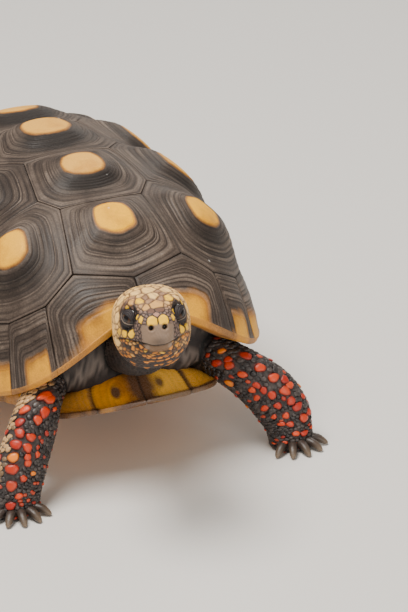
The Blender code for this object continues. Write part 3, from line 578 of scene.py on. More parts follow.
# How strong the painted shade and stain in front of each plate's boss is.
VERTEBRAL_STAIN_AND_SHADE = (0.25, 0.9, 1.0, 1.0, 0.6)
VERTEBRAL_GOLD = (1.0, 0.1, 0.1, 0.1, 0.1)
for i, loop in enumerate(vertebral_loops):
    middle = plan_corner(0.0, VERTEBRAL_BOSSES[i])
    looks = (VERTEBRAL_STAIN_AND_SHADE[i], VERTEBRAL_GOLD[i])
    horn_plate(f"vertebral_{i + 1}", loop, middle, VERTEBRAL_HATCH[i], 11 + i, *looks)

COSTAL_HATCH = (0.24, 0.26, 0.26, 0.28)
# The flank plates' painted shade and stain in front of their bosses, and how gold each one is.
COSTAL_STAIN_AND_SHADE, COSTAL_GOLD = 0.6, (0.8, 0.3, 0.1, 0.1)
for side, word in ((1, "left"), (-1, "right")):
    j, w, f, r = joints[side], waists[side], feet[side], rim_joints[side]
    loops = (
        (first_corner[side], j[0], w[0], f[0], r[3], r[2], r[1], r[0]),
        (w[0], j[1], w[1], f[1], r[5], r[4], f[0]),
        (w[1], j[2], w[2], f[2], r[7], r[6], f[1]),
        (w[2], j[3], f[3], r[9], r[8], f[2]),
    )
    for i, loop in enumerate(loops):
        middle = mirrored(plan_corner(*COSTAL_BOSSES[i]), side)
        looks = (COSTAL_STAIN_AND_SHADE, COSTAL_GOLD[i])
        horn_plate(f"costal_{word}_{i + 1}", loop, middle, COSTAL_HATCH[i], 31 + i + 10 * side, *looks)

# ---- rim plates
# Eleven plates on each side and one over the tail hang below the flanks as the shell's rim. Each one wraps
# round the edge and a little way in under it, and its hatchling patch is at the edge, towards the front.

RIM_THICKNESS, RIM_BOSS, WRAP_ENDS, WRAP_SIDES = 1.7, 1.5, 14.0, 9.0
RIM_EDGE_JOINTS = (0.0, 20.8, 32.0, 49.0, 63.0, 78.0, 93.0, 108.0, 122.0, 136.0, 151.0, 168.0)
COSTAL_FEET_IN_RIM_PLATE = (5, 7, 9, 11)


def rim_top(index, side):
    """The top joint of rim plate number index: the front middle, then the joints along the flank plates."""
    return front_middle if index == 0 else rim_joints[side][index - 1]


def rim_depth(azimuth, share):
    """How deep the plates reach inwards: the wrap at the edge (share 0), the plate's depth at the top."""
    wrap = at_ends(azimuth, WRAP_ENDS, WRAP_SIDES)
    return PLATE + (wrap - PLATE) * np.interp(share, (0.0, 0.35, 1.0), (1.0, 0.42, 0.0))


def along_path(corners, share):
    """Points at shares of a polyline whose sides count alike."""
    at = np.linspace(0, 1, len(corners))
    corners = np.asarray(corners)
    return np.stack([np.interp(share, at, corners[:, k]) for k in range(3)], axis=-1)


def closed_tube(grid):
    """A grid of closed rows made a solid: side quads, and a fan about the middle of each end row."""
    rows, columns = grid.shape[:2]
    count = rows * columns
    points = np.concatenate([grid.reshape(-1, 3), grid[0].mean(axis=0)[None], grid[-1].mean(axis=0)[None]])
    faces = [
        grid_faces(rows, columns),
        fan_faces(count, np.arange(columns), outward=False),
        fan_faces(count + 1, count - columns + np.arange(columns)),
    ]
    return points, [f[:, ::-1] for f in faces] if turned_out(points, faces[0]) else faces


def turned_out(points, faces):
    """True where a closed grid's faces point inwards: its signed volume is negative."""
    a, b, c, d = (points[faces[:, k]] - points.mean(axis=0) for k in range(4))
    return (np.cross(a, b) * c).sum() + (np.cross(a, c) * d).sum() < 0


RIM_SHARPNESS, RIM_TOP_SHARE = 14.0, 0.992


def rim_plate(corners, azimuths, sides, patch, seed, columns, rows, rings):
    """A grid of cross-sections from one joint to the next. Down the outside it is the dome between the edge
    and the top seam, bulged by a sine along the plate; then half a turn round the edge, in under it, and up
    inside. The age t is a soft maximum (the logarithm of a sum of exponentials) of the shares of the way
    from the patch to the top, the rear and the front joint, so that ridges follow the seams."""
    random = np.random.default_rng(seed)
    u = np.linspace(0, 1, columns)
    azimuth = np.interp(u, np.linspace(0, 1, len(azimuths)), azimuths)
    side = np.where(u <= 0.5, *sides) if sides[0] != sides[1] else np.full(columns, sides[0])
    top = along_path(corners, u)
    edge = on_dome(direction_at(azimuth, rim_elevation(azimuth), side))
    long = np.linalg.norm(np.roll(edge, -1, axis=0) - edge, axis=1)[:-1].sum()
    tall = np.linalg.norm(top - edge, axis=1)
    bulge = np.sqrt(np.sin(np.pi * np.clip(u, 0.002, 0.998)))
    reach = columns // 5
    weights = np.exp(-0.5 * (np.arange(-reach, reach + 1) / (reach / 2.5)) ** 2)
    padded = np.pad(top, ((reach, reach), (0, 0)), mode="reflect", reflect_type="odd")
    weights /= weights.sum()
    soft = np.stack([np.convolve(padded[:, k], weights, mode="valid") for k in range(3)], axis=-1)
    v = np.linspace(RIM_TOP_SHARE, 0.0, rows)
    middle, half, high = patch
    t_up = (v[:, None] - high) / (1 - high) + 0 * u
    t_rear = (u - middle - half) / (1 - middle - half) + 0 * v[:, None]
    t_front = (middle - half - u) / max(middle - half, 0.05) + 0 * v[:, None]
    bend = wobble(np.pi * u, random, 0.010, 9) + wobble(np.pi * v, random, 0.012, 9)[:, None]
    t = sum(np.exp(RIM_SHARPNESS * way) for way in (t_up, t_rear, t_front))
    t = np.log(t + 1.0) / RIM_SHARPNESS
    age = np.clip(t + bend, 0, 1)
    share, table = ring_table(seed, rings)
    height = np.interp(age, share, table)
    fade = ramp(t, 0.02, 0.12)
    near = np.minimum(np.minimum(u, 1 - u) * long, 99) + 0 * v[:, None]
    near = np.minimum(near, (RIM_TOP_SHARE - v)[:, None] * tall)
    rounding = EDGE_ROUNDING * (1 - np.sqrt(1 - np.clip(1 - near / EDGE_ROUNDING, 0, 0.98) ** 2))
    shape = np.interp(v, (0.0, 0.28, 0.62, 1.0), (0.3, 1.0, 0.8, 0.0))[:, None] * bulge
    proud = RIM_BOSS * shape - rounding
    proud = proud + RIDGE_HEIGHT * (height - HATCHLING_LEVEL) * fade * ramp(v, 0.0, 0.06)[:, None]
    up = v[:, None, None]
    flat = edge[None] + (soft[None] + (top - soft)[None] * up**6 - edge[None]) * up
    outside = on_dome(flat, proud)
    below = direction_at(azimuth, rim_elevation(azimuth) - RIM_THICKNESS, side)
    radius = dome_radius(below)
    low = below * (radius - 1.0)[:, None]
    turn = np.linspace(0, 1, 9)[1:-1, None, None]
    lip = outside[-1] + (low - outside[-1]) * (0.5 - 0.5 * np.cos(np.pi * turn))
    lip += below * (0.55 * np.sin(np.pi * turn))
    wrap = at_ends(azimuth, WRAP_ENDS, WRAP_SIDES)
    under = below * ((radius - 1.0)[None] + (1.0 - wrap) * np.linspace(0, 1, 8)[:, None])[..., None]
    inner = [on_dome(edge + (top - edge) * s, -rim_depth(azimuth, s)) for s in (0.35, 0.66, 0.985)]
    grid = np.concatenate([outside, lip, under, np.stack(inner)])
    grid = grid.transpose(1, 0, 2)
    toward = np.stack([grid[1] - grid[0], grid[-2] - grid[-1]])
    toward /= np.maximum(np.linalg.norm(toward, axis=2, keepdims=True), 1e-6)
    grid[0] += toward[0] * SEAM
    grid[-1] += toward[1] * SEAM
    extra = grid.shape[1] - rows

    def spread(values, beyond):
        """A mark's values on the outside rows, and beyond them on the rows that wrap under and inside."""
        return np.concatenate([values, np.broadcast_to(beyond, (extra, columns))]).T.ravel()

    patch_mask = 1 - ramp(t + wobble(7 * u, random, 0.03, 6) + 0 * v[:, None], -0.02, 0.40)
    edge_tan = ramp(v, 0.34, 0.0)[:, None] * (0.55 + 0.45 * np.cos(5 * u + seed)) * 0.7
    under_mark = np.concatenate([np.ones(13), np.full(extra - 13, 0.4)])[:, None]
    marks = {
        "ridge": spread(height * fade + HATCHLING_LEVEL * (1 - fade), HATCHLING_LEVEL),
        "pale": spread(0.85 * patch_mask, 0.85 * patch_mask[-1] * under_mark),
        "warm": spread(np.clip(edge_tan, 0, 1), under_mark * 0.8 + 0 * u),
        "soot": spread(0 * t, 0.0),
        "gold": spread(0 * t + 0.7, 0.7),
    }
    return *closed_tube(grid), {key: np.concatenate([values, [0.0, 0.0]]) for key, values in marks.items()}


def joined(pieces):
    """Several (points, faces, marks) made one, with the face indices moved on."""
    start, points, faces, marks = 0, [], [], {}
    for p, f, m in pieces:
        points.append(p)
        faces += [rows + start for rows in f]
        start += len(p)
        for key, values in m.items():
            marks.setdefault(key, []).append(values)
    return np.concatenate(points), faces, {key: np.concatenate(v) for key, v in marks.items()}


# Each hatchling patch: its middle and half its length along the plate, and its height.
RIM_PATCHES = {1: (0.42, 0.20, 0.26), 2: (0.34, 0.20, 0.24), 3: (0.22, 0.20, 0.24)}
LATER_RIM_PATCH, TAIL_PATCH = (0.22, 0.17, 0.20), (0.5, 0.14, 0.2)
for first, last, where in ((1, 3, "front"), (4, 7, "bridge"), (8, 11, "rear")):
    for side, word in ((1, "left"), (-1, "right")):
        made = []
        for plate in range(first, last + 1):
            corners = [rim_top(plate - 1, side), rim_top(plate, side)]
            if plate == 1:
                corners.insert(1, first_corner[side])
            if plate in COSTAL_FEET_IN_RIM_PLATE:
                corners.insert(1, feet[side][COSTAL_FEET_IN_RIM_PLATE.index(plate)])
            patch = RIM_PATCHES.get(plate, LATER_RIM_PATCH)
            fine = (104, 92) if plate <= 3 else (64, 64)
            ends = RIM_EDGE_JOINTS[plate - 1 : plate + 1]
            made.append(rim_plate(corners, ends, (side, side), patch, 60 + plate + 20 * side, *fine, 11))
        points, faces, marks = joined(made)
        node = f"rim_{word}_{where}"
        add_piece(f"{node}_horn", from_shell(points), faces, horn, "carapace_horn", [node], marks)

corners = [rim_top(11, 1), (rim_top(11, 1) + rim_top(11, -1)) / 2, rim_top(11, -1)]
ends = (RIM_EDGE_JOINTS[11], 180.0, RIM_EDGE_JOINTS[11])
points, faces, marks = rim_plate(corners, ends, (1, -1), TAIL_PATCH, 99, 97, 64, 10)
add_piece("rim_tail_horn", from_shell(points), faces, horn, "carapace_horn", ["rim_tail"], marks)

# ---- plastron
# The belly shield: a slab of bone under amber horn whose sides bend up to the rim. Its front lobe thickens
# into a sloping lip below the neck, and dark seams part its horn into twelve plates.

PLASTRON_BOTTOM, PLASTRON_THICKNESS = -24.0, 7.0
LIP_EDGE, LIP_RISE, LIP_DEPTH = 2.2, 11.5, 13.0
BRIDGE_HALF_WIDTH, BRIDGE_BEND_START, BRIDGE_BEND_RISE = 63.0, 42.0, 11.0
PLASTRON_OUTLINE = {
    "y": (-97, -95.5, -92, -87, -79, -66, -50, -45, -40, -32, 32, 40, 46, 52, 62, 74, 84, 88),
    "half": (9, 19, 29, 35, 38, 39.5, 42, 50, 58, 63, 63, 58, 50, 42.5, 40, 34, 24, 12),
}
PLASTRON_FRONT, PLASTRON_REAR, GULAR_HALF_WIDTH, GULAR_LENGTH = -97.0, 88.0, 20.8, 22.0
CROSS_SEAMS, LAST_SEAM, LAST_SEAM_SLANT = (-47.5, -30.0, 28.0), 57.0, 0.12
# Brown blotches on each side of the underside: across, along, half width, half length.
BLOTCHES = ((26, -62, 9, 6), (24, -38, 14, 4), (30, 2, 16, 15), (20, 42, 10, 7), (13, 72, 7, 6))
AMBER, YELLOW, BROWN_SMEAR = (0.60, 0.215, 0.008), (0.90, 0.385, 0.02), (0.075, 0.045, 0.036)
HUMERAL_TAN, LIP_GOLD_PAINTED_LIGHT, SEAM_BROWN = (0.80, 0.38, 0.08), (1.0, 0.52, 0.06), (0.02, 0.013, 0.01)


def plastron_floor(x, y):
    """The underside's height: its sides bend up to the rim, and both lobes curl up a little."""
    bend = np.maximum(0.0, (np.abs(x) - BRIDGE_BEND_START) / (BRIDGE_HALF_WIDTH - BRIDGE_BEND_START))
    front, rear = np.maximum(0.0, (-58 - y) / 39), np.maximum(0.0, (y - 60) / 28)
    return PLASTRON_BOTTOM + BRIDGE_BEND_RISE * bend**1.8 + 7.0 * front**1.4 + 3.0 * rear**1.5


def plastron_depth(x, y):
    """How thick it is: a thin front edge that rises back into the thick lip under the neck."""
    back = ramp((y + 97 - 8.5 * (x / 34.5) ** 2) / LIP_DEPTH, -0.1, 1.1)
    lip = LIP_RISE * back * np.maximum(0.0, 1 - (x / 40) ** 2)
    fade = np.clip((-62 - y) / 14, 0.0, 1.0)
    depth = LIP_EDGE + lip * fade + (PLASTRON_THICKNESS - LIP_EDGE) * (1 - fade)
    below_rim = rim_level(np.degrees(np.arctan2(np.abs(x), -y))) - 3.4 - plastron_floor(x, y)
    return np.where(np.abs(x) > 50, np.minimum(depth, below_rim), depth)


def make_plastron():
    """A grid of cross-sections from front to rear, each one across the underside and back over the top. The
    ridge marks run at even distances from the nearest seam; each seam is a shallow narrow groove."""
    y = np.concatenate([np.linspace(PLASTRON_FRONT, -80, 70), np.linspace(-80, PLASTRON_REAR, 150)[1:]])
    fine = np.linspace(PLASTRON_FRONT, PLASTRON_REAR, 741)
    half = np.interp(fine, PLASTRON_OUTLINE["y"], PLASTRON_OUTLINE["half"])
    smooth = np.convolve(np.pad(half, 12, mode="edge"), np.ones(25) / 25, mode="valid")
    ends = np.minimum(fine - PLASTRON_FRONT, PLASTRON_REAR - fine)
    half = np.interp(y, fine, half + (smooth - half) * ramp(ends, 0, 8))
    across = np.sin(np.linspace(-np.pi / 2, np.pi / 2, 121))
    x = across[None] * half[:, None]
    rows = y[:, None] + 0 * x
    floor_level = plastron_floor(x, rows)
    depth = plastron_depth(x, rows)
    from_gular = (np.abs(x) / GULAR_HALF_WIDTH) ** 4 + (np.maximum(rows + 99, 0) / GULAR_LENGTH) ** 4
    from_gular = 20.0 * (from_gular**0.25 - 1)
    seams = [np.abs(rows - s) for s in CROSS_SEAMS]
    seams.append(np.abs(rows - LAST_SEAM + LAST_SEAM_SLANT * np.abs(x)))
    to_seam = np.stack([np.abs(from_gular), *seams, np.abs(x)]).min(axis=0)
    groove = bell(to_seam, 0, 0.42)
    share, table = ring_table(71, 9)
    edge = np.minimum(half[:, None] - np.abs(x), 40)
    lines = np.interp(np.clip(np.minimum(to_seam, edge) / 15.0, 0, 1), share, table)
    lines = np.where(np.minimum(to_seam, edge) > 14.5, 0.7, lines)
    sunk = 0.55 * groove + 0.16 * (1 - lines)
    low = np.stack([x, rows, floor_level + sunk], axis=-1)
    high = np.stack([x, rows, floor_level + depth - sunk], axis=-1)[:, ::-1]
    grid = np.concatenate([low, high[:, 1:-1]], axis=1)

    def both(values):
        """A mark's values on the underside, mirrored on the top side, and on the two ends' middles."""
        whole = np.concatenate([values, values[:, ::-1][:, 1:-1]], axis=1).ravel()
        return np.concatenate([whole, whole[:1], whole[-1:]])

    lip = ramp(rows, -70, -84)
    middle = bell(x, 0.5, 5.5) * lip + 0.8 * bell(x, 0, 9) * (1 - lip)
    outer = ramp(np.abs(x) / half[:, None], 0.86, 1.0) * 0.3
    spots = bell(np.hypot((x + 11) / 2.0, (rows + 90) / 2.6), 0, 1)
    spots = spots + 0.6 * bell(np.hypot((x - 9) / 1.8, (rows + 90) / 2.4), 0, 1)
    blotch = sum(
        bell(np.hypot((np.abs(x) - cx) / wx, (rows - cy) / wy), 0, 1) for cx, cy, wx, wy in BLOTCHES
    )
    strip = ramp(depth, LIP_EDGE + 0.9, LIP_EDGE + 0.2) * lip
    smear = middle + outer + 0.7 * bell(from_gular, 0.6, 1.3) * lip + spots * 1.2
    smear = np.clip(smear + 0.75 * blotch * (1 - lip) + 0.5 * strip, 0, 1)
    humeral = ramp(from_gular, -1, 1)
    # Painted light: the lip's right side is made golden and lighter, as where light falls on it.
    pale = ramp(x, 2.0, 7.0) * (1 - 0.35 * humeral) * lip
    marks = {"ridge": lines, "seam": groove, "smear": smear, "humeral": humeral * lip, "pale": pale}
    return *closed_tube(grid), {mark: both(values) for mark, values in marks.items()}


def make_belly_horn():
    """Marks: ridge, seam (dark line), smear (brown growth), humeral (tan part of the lip), pale (painted
    light: the lip's right side made golden and lighter).
    """
    material, tree, shader, worn = new_finish("amber_horn", 0.4, 0.5)
    ridge, seam, smear, humeral = (read_mark(tree, m) for m in ("ridge", "seam", "smear", "humeral"))
    grain, stain = worn.outputs["Grain"], worn.outputs["Stain"]
    colour = mix_colour(tree, AMBER, YELLOW, remap(tree, stain, 0.38, 0.6))
    colour = mix_colour(tree, colour, HUMERAL_TAN, calculate(tree, "MULTIPLY", humeral, 0.6))
    # Painted light on the lip's right side.
    colour = mix_colour(tree, colour, LIP_GOLD_PAINTED_LIGHT, read_mark(tree, "pale"))
    lines = remap(tree, ridge, 0.5, 0.0, 0.0, 0.28)
    colour = mix_colour(tree, colour, BROWN_SMEAR, lines)
    brown = calculate(tree, "ADD", smear, remap(tree, stain, 0.3, 0.7, 0.3, -0.3))
    brown = calculate(tree, "MULTIPLY", remap(tree, brown, 0.2, 0.8), 0.9)
    colour = mix_colour(tree, colour, BROWN_SMEAR, brown)
    colour = mix_colour(tree, colour, SEAM_BROWN, calculate(tree, "MULTIPLY", seam, 0.75))
    tree.links.new(colour, shader.inputs["Base Color"])
    tree.links.new(remap(tree, grain, 0.3, 0.7, 0.24, 0.32), shader.inputs["Roughness"])
    add_bump(tree, shader, worn.outputs["Height"], 0.15, 0.0002)
    return material


belly_horn = make_belly_horn()
points, faces, marks = make_plastron()
PLASTRON_PLATES = ("gulars", "humerals", "pectorals", "abdominals", "femorals", "anals")
plastron_nodes = [f"plastron_{plate}" for plate in PLASTRON_PLATES]
add_piece("plastron_horn", from_shell(points), faces, belly_horn, "plastron_horn", plastron_nodes, marks)

# ---- the body under the skin
# Head, neck, legs and tail are tubes carried along curved paths, and a low body joins them inside the shell.
# They are grown together into one skin, folded at the neck and the joints and covered with fine granules.

LIMB_POWER = 2.2


def catmull_rom(values, places, at):
    """Smooth values at `at` through (places, values): on each span a cubic with the neighbours' slopes."""
    values, places = np.asarray(values, float), np.asarray(places, float)
    slopes = np.gradient(values, places, axis=0)
    i = np.clip(np.searchsorted(places, at, side="right") - 1, 0, len(places) - 2)
    width = places[i + 1] - places[i]
    t = (at - places[i]) / width
    shape = (slice(None),) + (None,) * (values.ndim - 1)
    t, width = t[shape], width[shape]
    a, b, c, d = values[i], values[i + 1], slopes[i] * width, slopes[i + 1] * width
    return a + c * t + (3 * (b - a) - 2 * c - d) * t**2 + (2 * (a - b) + c + d) * t**3


def oval(angle, width, top, bottom, power):
    """(across, up) of a superellipse that is unlike above and below."""
    c, s = np.cos(angle), np.sin(angle)
    height = np.where(s > 0, top, bottom)
    radius = (np.abs(c / width) ** power + np.abs(s / height) ** power) ** (-1 / power)
    return radius * c, radius * s


def normals_of(grid):
    """Outward normals of a grid of closed rows, from the cross product of its two central differences."""
    across = np.roll(grid, -1, axis=1) - np.roll(grid, 1, axis=1)
    along = np.gradient(grid, axis=0)
    normal = np.cross(across, along)
    normal /= np.maximum(np.linalg.norm(normal, axis=-1, keepdims=True), 1e-9)
    middle = grid.mean(axis=1, keepdims=True)
    return normal * np.sign(((grid - middle) * normal).sum(axis=(1, 2)).mean())


def limb_tube(stations, reference, rows, columns, first=0.0, last=1.0):
    """Ovals carried along a smooth path through stations of x, y, z, half width and half depth."""
    stations = np.asarray(stations, float)
    places = np.linspace(0, 1, len(stations))
    at = np.linspace(first, last, rows)
    row = catmull_rom(stations, places, at)
    ahead = np.gradient(row[:, :3], axis=0)
    ahead /= np.linalg.norm(ahead, axis=1, keepdims=True)
    across = np.cross(ahead, np.asarray(reference, float))
    across /= np.linalg.norm(across, axis=1, keepdims=True)
    above = np.cross(across, ahead)
    angle = np.arange(columns) / columns * 2 * np.pi
    u, v = oval(angle[None], row[:, 3:4], row[:, 4:5], row[:, 4:5], LIMB_POWER)
    return row[:, None, :3] + across[:, None] * u[..., None] + above[:, None] * v[..., None]


def jittered_cells(x, y, wrap, seed):
    """For points on a plane cut into unit squares with one seed in each, staggered and jittered: how far the
    second nearest seed is beyond the nearest, and a random number for the nearest. x wraps after `wrap`."""
    random = np.random.default_rng(seed)
    size = 400
    shift = random.uniform(-0.28, 0.28, (size, size, 2))
    value = random.random((size, size))
    column, row = np.floor(x).astype(int), np.floor(y).astype(int)
    best = np.full(x.shape, 9.0)
    second = np.full(x.shape, 9.0)
    chosen = np.zeros(x.shape)
    for i in range(-2, 3):
        for j in range(-1, 2):
            c, r = column + i, row + j
            cw = np.mod(c, wrap)
            sx = c + 0.5 + 0.5 * np.mod(r, 2) + shift[cw % size, r % size, 0]
            sy = r + 0.5 + shift[cw % size, r % size, 1]
            far = np.hypot(x - sx, y - sy)
            nearer = far < best
            second = np.where(nearer, best, np.minimum(second, far))
            chosen = np.where(nearer, value[cw % size, r % size], chosen)
            best = np.where(nearer, far, best)
    return second - best, chosen


def tube_lengths(grid):
    """(distance along, number of unit cells round) of a tube, for patterns laid on it."""
    middle = grid.mean(axis=1)
    along = np.concatenate([[0], np.cumsum(np.linalg.norm(np.diff(middle, axis=0), axis=1))])
    return along, np.linalg.norm(np.roll(grid, -1, axis=1) - grid, axis=2).sum(axis=1).mean()


def granulate(grid, size, height, seed, folds=None):
    """A tube grown over with granules, rounded cells of one size raised by height: grid, rise and values."""
    along, round_length = tube_lengths(grid)
    wrap = max(4, int(round(round_length / size)))
    columns = grid.shape[1]
    x = np.arange(columns)[None] / columns * wrap + 0 * along[:, None]
    y = along[:, None] / size + 0 * x
    gap, value = jittered_cells(x, y, wrap, seed)
    rise = ramp(gap, 0.0, 0.42)
    lift = height * (rise - 0.6)
    if folds is not None:
        lift = lift + folds
    return grid + normals_of(grid) * lift[..., None], rise, value


# ---- head
# A blunt head with a horny beak: scales of many sizes on the crown and cheeks, each with its own colour, a
# mouth line that curves up to the hooked tip, two small nostrils, and a brow over each eye.

HEAD_LENGTH, HEAD_POWER, EYE_RADIUS, EYE_TURN = 40.0, 2.3, 4.6, 48.0
HEAD_STATIONS = {
    "distance": (0.0, 1.0, 3.0, 6.0, 10.0, 15.0, 21.0, 27.0, 33.0, 40.0),
    "half_width": (3.2, 5.0, 6.7, 8.5, 10.8, 13.1, 14.8, 15.4, 14.8, 12.8),
    "top": (2.0, 3.4, 5.2, 7.4, 10.2, 12.8, 14.5, 15.0, 14.0, 11.8),
    "bottom": (6.0, 8.2, 10.4, 12.0, 13.4, 14.8, 16.6, 17.6, 16.4, 12.8),
}
ORBIT_DEPTH, ORBIT_REACH, BROW_RISE, BROW_REACH = 1.6, 4.6, 1.4, 4.0
MOUTH_LINE = ((-1.0, 0.0, 1.0, 2.0, 6.0, 14.0, 22.0), (-8.2, -8.1, -7.9, -7.1, -6.0, -4.5, -4.4))
NOSTRILS, NOSTRIL_DEPTH, NOSTRIL_RADIUS = ((2.6, -0.9), (-2.6, -0.9)), 1.7, 0.95
# Named scales of the face: colour, half the gap to their neighbours, side, distance behind the tip, rise.
FACE_SCALES = (
    ("yellow", 1.9, -5.6, 9.8, 10.0), ("tan", 1.7, -8.3, 11.0, 9.2), ("yellow", 2.2, 6.2, 10.4, 10.0),
    ("cream", 1.8, 9.2, 12.4, 9.4), ("yellow", 1.1, -9.5, 12.2, 7.3), ("yellow", 1.1, 11.4, 14.9, 7.2),
    ("yellow", 0.9, -7.7, 6.0, 3.9), ("yellow", 0.9, 7.9, 7.1, 4.7), ("yellow", 1.3, -6.2, 3.4, 2.6),
    ("yellow", 1.2, 6.5, 3.8, 2.6), ("yellow", 2.1, -1.8, 0.4, 2.2), ("yellow", 2.1, 2.1, 0.4, 2.2),
    ("yellow", 1.7, -9.6, 9.0, -2.9), ("yellow", 1.5, -12.4, 13.0, -2.6), ("yellow", 1.3, -14.0, 16.4, -2.2),
    ("yellow", 1.8, 10.4, 9.4, -2.8), ("yellow", 1.6, 12.9, 13.9, -2.3), ("tan", 1.3, 14.0, 18.2, -1.6),
    ("tan", 2.7, 0.8, 6.4, 7.7), ("tan", 1.6, -3.3, 5.8, 6.8), ("pink", 1.5, 0.1, 1.4, 3.9),
    ("brown", 1.9, 1.6, 4.0, 5.6), ("brown", 1.5, -1.9, 3.4, 5.4),
    ("cream", 2.4, -14.0, 18.2, 3.7), ("cream", 2.4, -11.8, 20.8, 9.9), ("cream", 3.0, -0.9, 16.5, 13.2),
    ("cream", 2.5, -6.0, 16.8, 12.6), ("cream", 2.5, 5.8, 16.8, 12.6), ("cream", 2.2, 13.8, 19.0, 4.2),
    ("cream", 2.3, 0.4, 11.6, 11.2), ("cream", 2.2, 12.2, 21.0, 9.5), ("cream", 2.4, -15.2, 23.5, -1.0),
    ("cream", 2.2, -14.6, 21.5, -6.0), ("cream", 2.4, 15.0, 24.5, 0.0),
    ("orange", 1.2, -12.9, 16.0, -5.3), ("orange", 1.1, -11.9, 13.8, -6.5),
    ("orange", 1.2, 12.9, 15.8, -5.1),
    ("orange", 1.1, 11.3, 12.3, -6.1), ("orange", 1.3, -9.7, 11.3, -8.7), ("orange", 1.2, -7.1, 6.5, -8.0),
    ("tan", 1.3, -9.6, 15.0, -11.3), ("orange", 1.2, 4.9, 5.0, -9.7), ("orange", 1.3, 7.9, 8.5, -8.7),
    ("tan", 1.2, 7.1, 12.2, -11.9), ("orange", 1.1, -3.4, 7.4, -11.9), ("orange", 1.1, 0.7, 8.7, -12.9),
    ("orange", 1.2, -4.0, 15.6, -14.6), ("orange", 1.2, 4.0, 13.5, -13.9), ("orange", 1.2, 0.1, 19.7, -16.2),
)
SCALE_COLOURS = {
    "yellow": (1.0, 0.55, 0.0), "tan": (0.68, 0.35, 0.09), "pink": (0.42, 0.21, 0.14),
    "brown": (0.14, 0.065, 0.04), "cream": (1.0, 0.62, 0.21), "orange": (0.78, 0.26, 0.012),
}
CROWN, TEMPLE, SNOUT, CHEEK = (1.0, 0.60, 0.19), (0.66, 0.34, 0.12), (0.21, 0.13, 0.10), (0.42, 0.22, 0.09)
JAW, THROAT, EYE_BLACK = (0.20, 0.08, 0.02), (0.030, 0.014, 0.010), (0.016, 0.012, 0.014)
BROW_MAUVE, BROW_GOLD, EYE_BROWN = (0.34, 0.17, 0.115), (1.0, 0.54, 0.04), (0.17, 0.10, 0.075)
SCALE_SHADE = (0.24, 0.105, 0.045)
BEAK_HORN, BEAK_DARK, LOWER_BEAK = (0.25, 0.165, 0.11), (0.045, 0.030, 0.024), (0.18, 0.10, 0.05)
LINE_BROWN, LINE_BLACK = (0.10, 0.05, 0.026), (0.014, 0.010, 0.009)
SKIN_BLACK, SKIN_FOLD = (0.018, 0.014, 0.014), (0.20, 0.16, 0.135)
SNOUT_FRONT, SNOUT_MIDDLE_HEIGHT = 0.7, -2.0


def blended(below, above, mask):
    """Two colours, or rows of them, mixed by a mask."""
    mask = np.clip(np.asarray(mask, float), 0, 1)[..., None]
    return np.asarray(below) * (1 - mask) + np.asarray(above) * mask


def eye_centre(side):
    """An eyeball's centre in the head's frame."""
    return np.array((side * EYE_SIDE, EYE_DISTANCE, EYE_RISE))


def orbit_place(side=1):
    """The outermost point of an eyeball, and the direction it looks in, in the head's frame."""
    turn = math.radians(EYE_TURN)
    axis = np.array((side * math.sin(turn), -math.cos(turn), 0.0))
    return eye_centre(side) + axis * EYE_RADIUS, axis


def head_rings(columns):
    """The head's ovals in its own frame, dented at the eyes, raised at each brow."""
    angle = np.arange(columns) / columns * 2 * np.pi
    front = SNOUT_FRONT
    share = np.linspace(0.03, 0.97, 17)
    body = front + (HEAD_LENGTH - front) * np.linspace(0, 1, 138) ** 1.2
    distance = np.concatenate([front * share**2.2, body])
    wide, top, bottom = (
        catmull_rom(HEAD_STATIONS[key], HEAD_STATIONS["distance"], np.maximum(distance, front))
        for key in ("half_width", "top", "bottom")
    )
    x, z = oval(angle[None], wide[:, None], top[:, None], bottom[:, None], HEAD_POWER)
    scale = np.concatenate([share, np.ones(len(body))])[:, None]
    x, z = x * scale, SNOUT_MIDDLE_HEIGHT + (z - SNOUT_MIDDLE_HEIGHT) * scale
    grid = np.stack([x, distance[:, None] + 0 * x, z], axis=-1)
    half = np.stack([np.abs(x), grid[..., 1], z], axis=-1)
    orbit, _ = orbit_place()
    dent = (ORBIT_DEPTH + 0.4) * bell(np.linalg.norm(half - orbit, axis=-1), 0, ORBIT_REACH)
    rise = BROW_RISE * bell(np.linalg.norm(half - (orbit + (-1.5, 1.5, 5.0)), axis=-1), 0, BROW_REACH)
    rise = rise + 0.7 * bell(np.linalg.norm(half - (orbit + (-3.6, -1.0, 4.0)), axis=-1), 0, 2.6)
    rise = rise + 0.5 * bell(np.linalg.norm(half - (orbit + (0.6, 1.0, -5.4)), axis=-1), 0, 3.0)
    out = np.stack([x, 0 * x, z], axis=-1)
    out /= np.maximum(np.linalg.norm(out, axis=-1, keepdims=True), 1e-9)
    return grid + out * ((rise - dent) * scale)[..., None]


def scatter_seeds(points, spacing, taken, seed):
    """Points of a grid at least their spacing apart, and as far from the seeds already taken."""
    random = np.random.default_rng(seed)
    order = random.permutation(len(points))[:9000]
    places, gaps = points[order], spacing(points[order])
    chosen, reach = np.array(taken[:, :3]), np.array(taken[:, 3])
    for place, gap in zip(places, gaps):
        if (np.linalg.norm(chosen - place, axis=1) > reach * 0.8 + gap).all():
            chosen = np.concatenate([chosen, place[None]])
            reach = np.concatenate([reach, [gap]])
    return np.concatenate([chosen, reach[:, None]], axis=1)


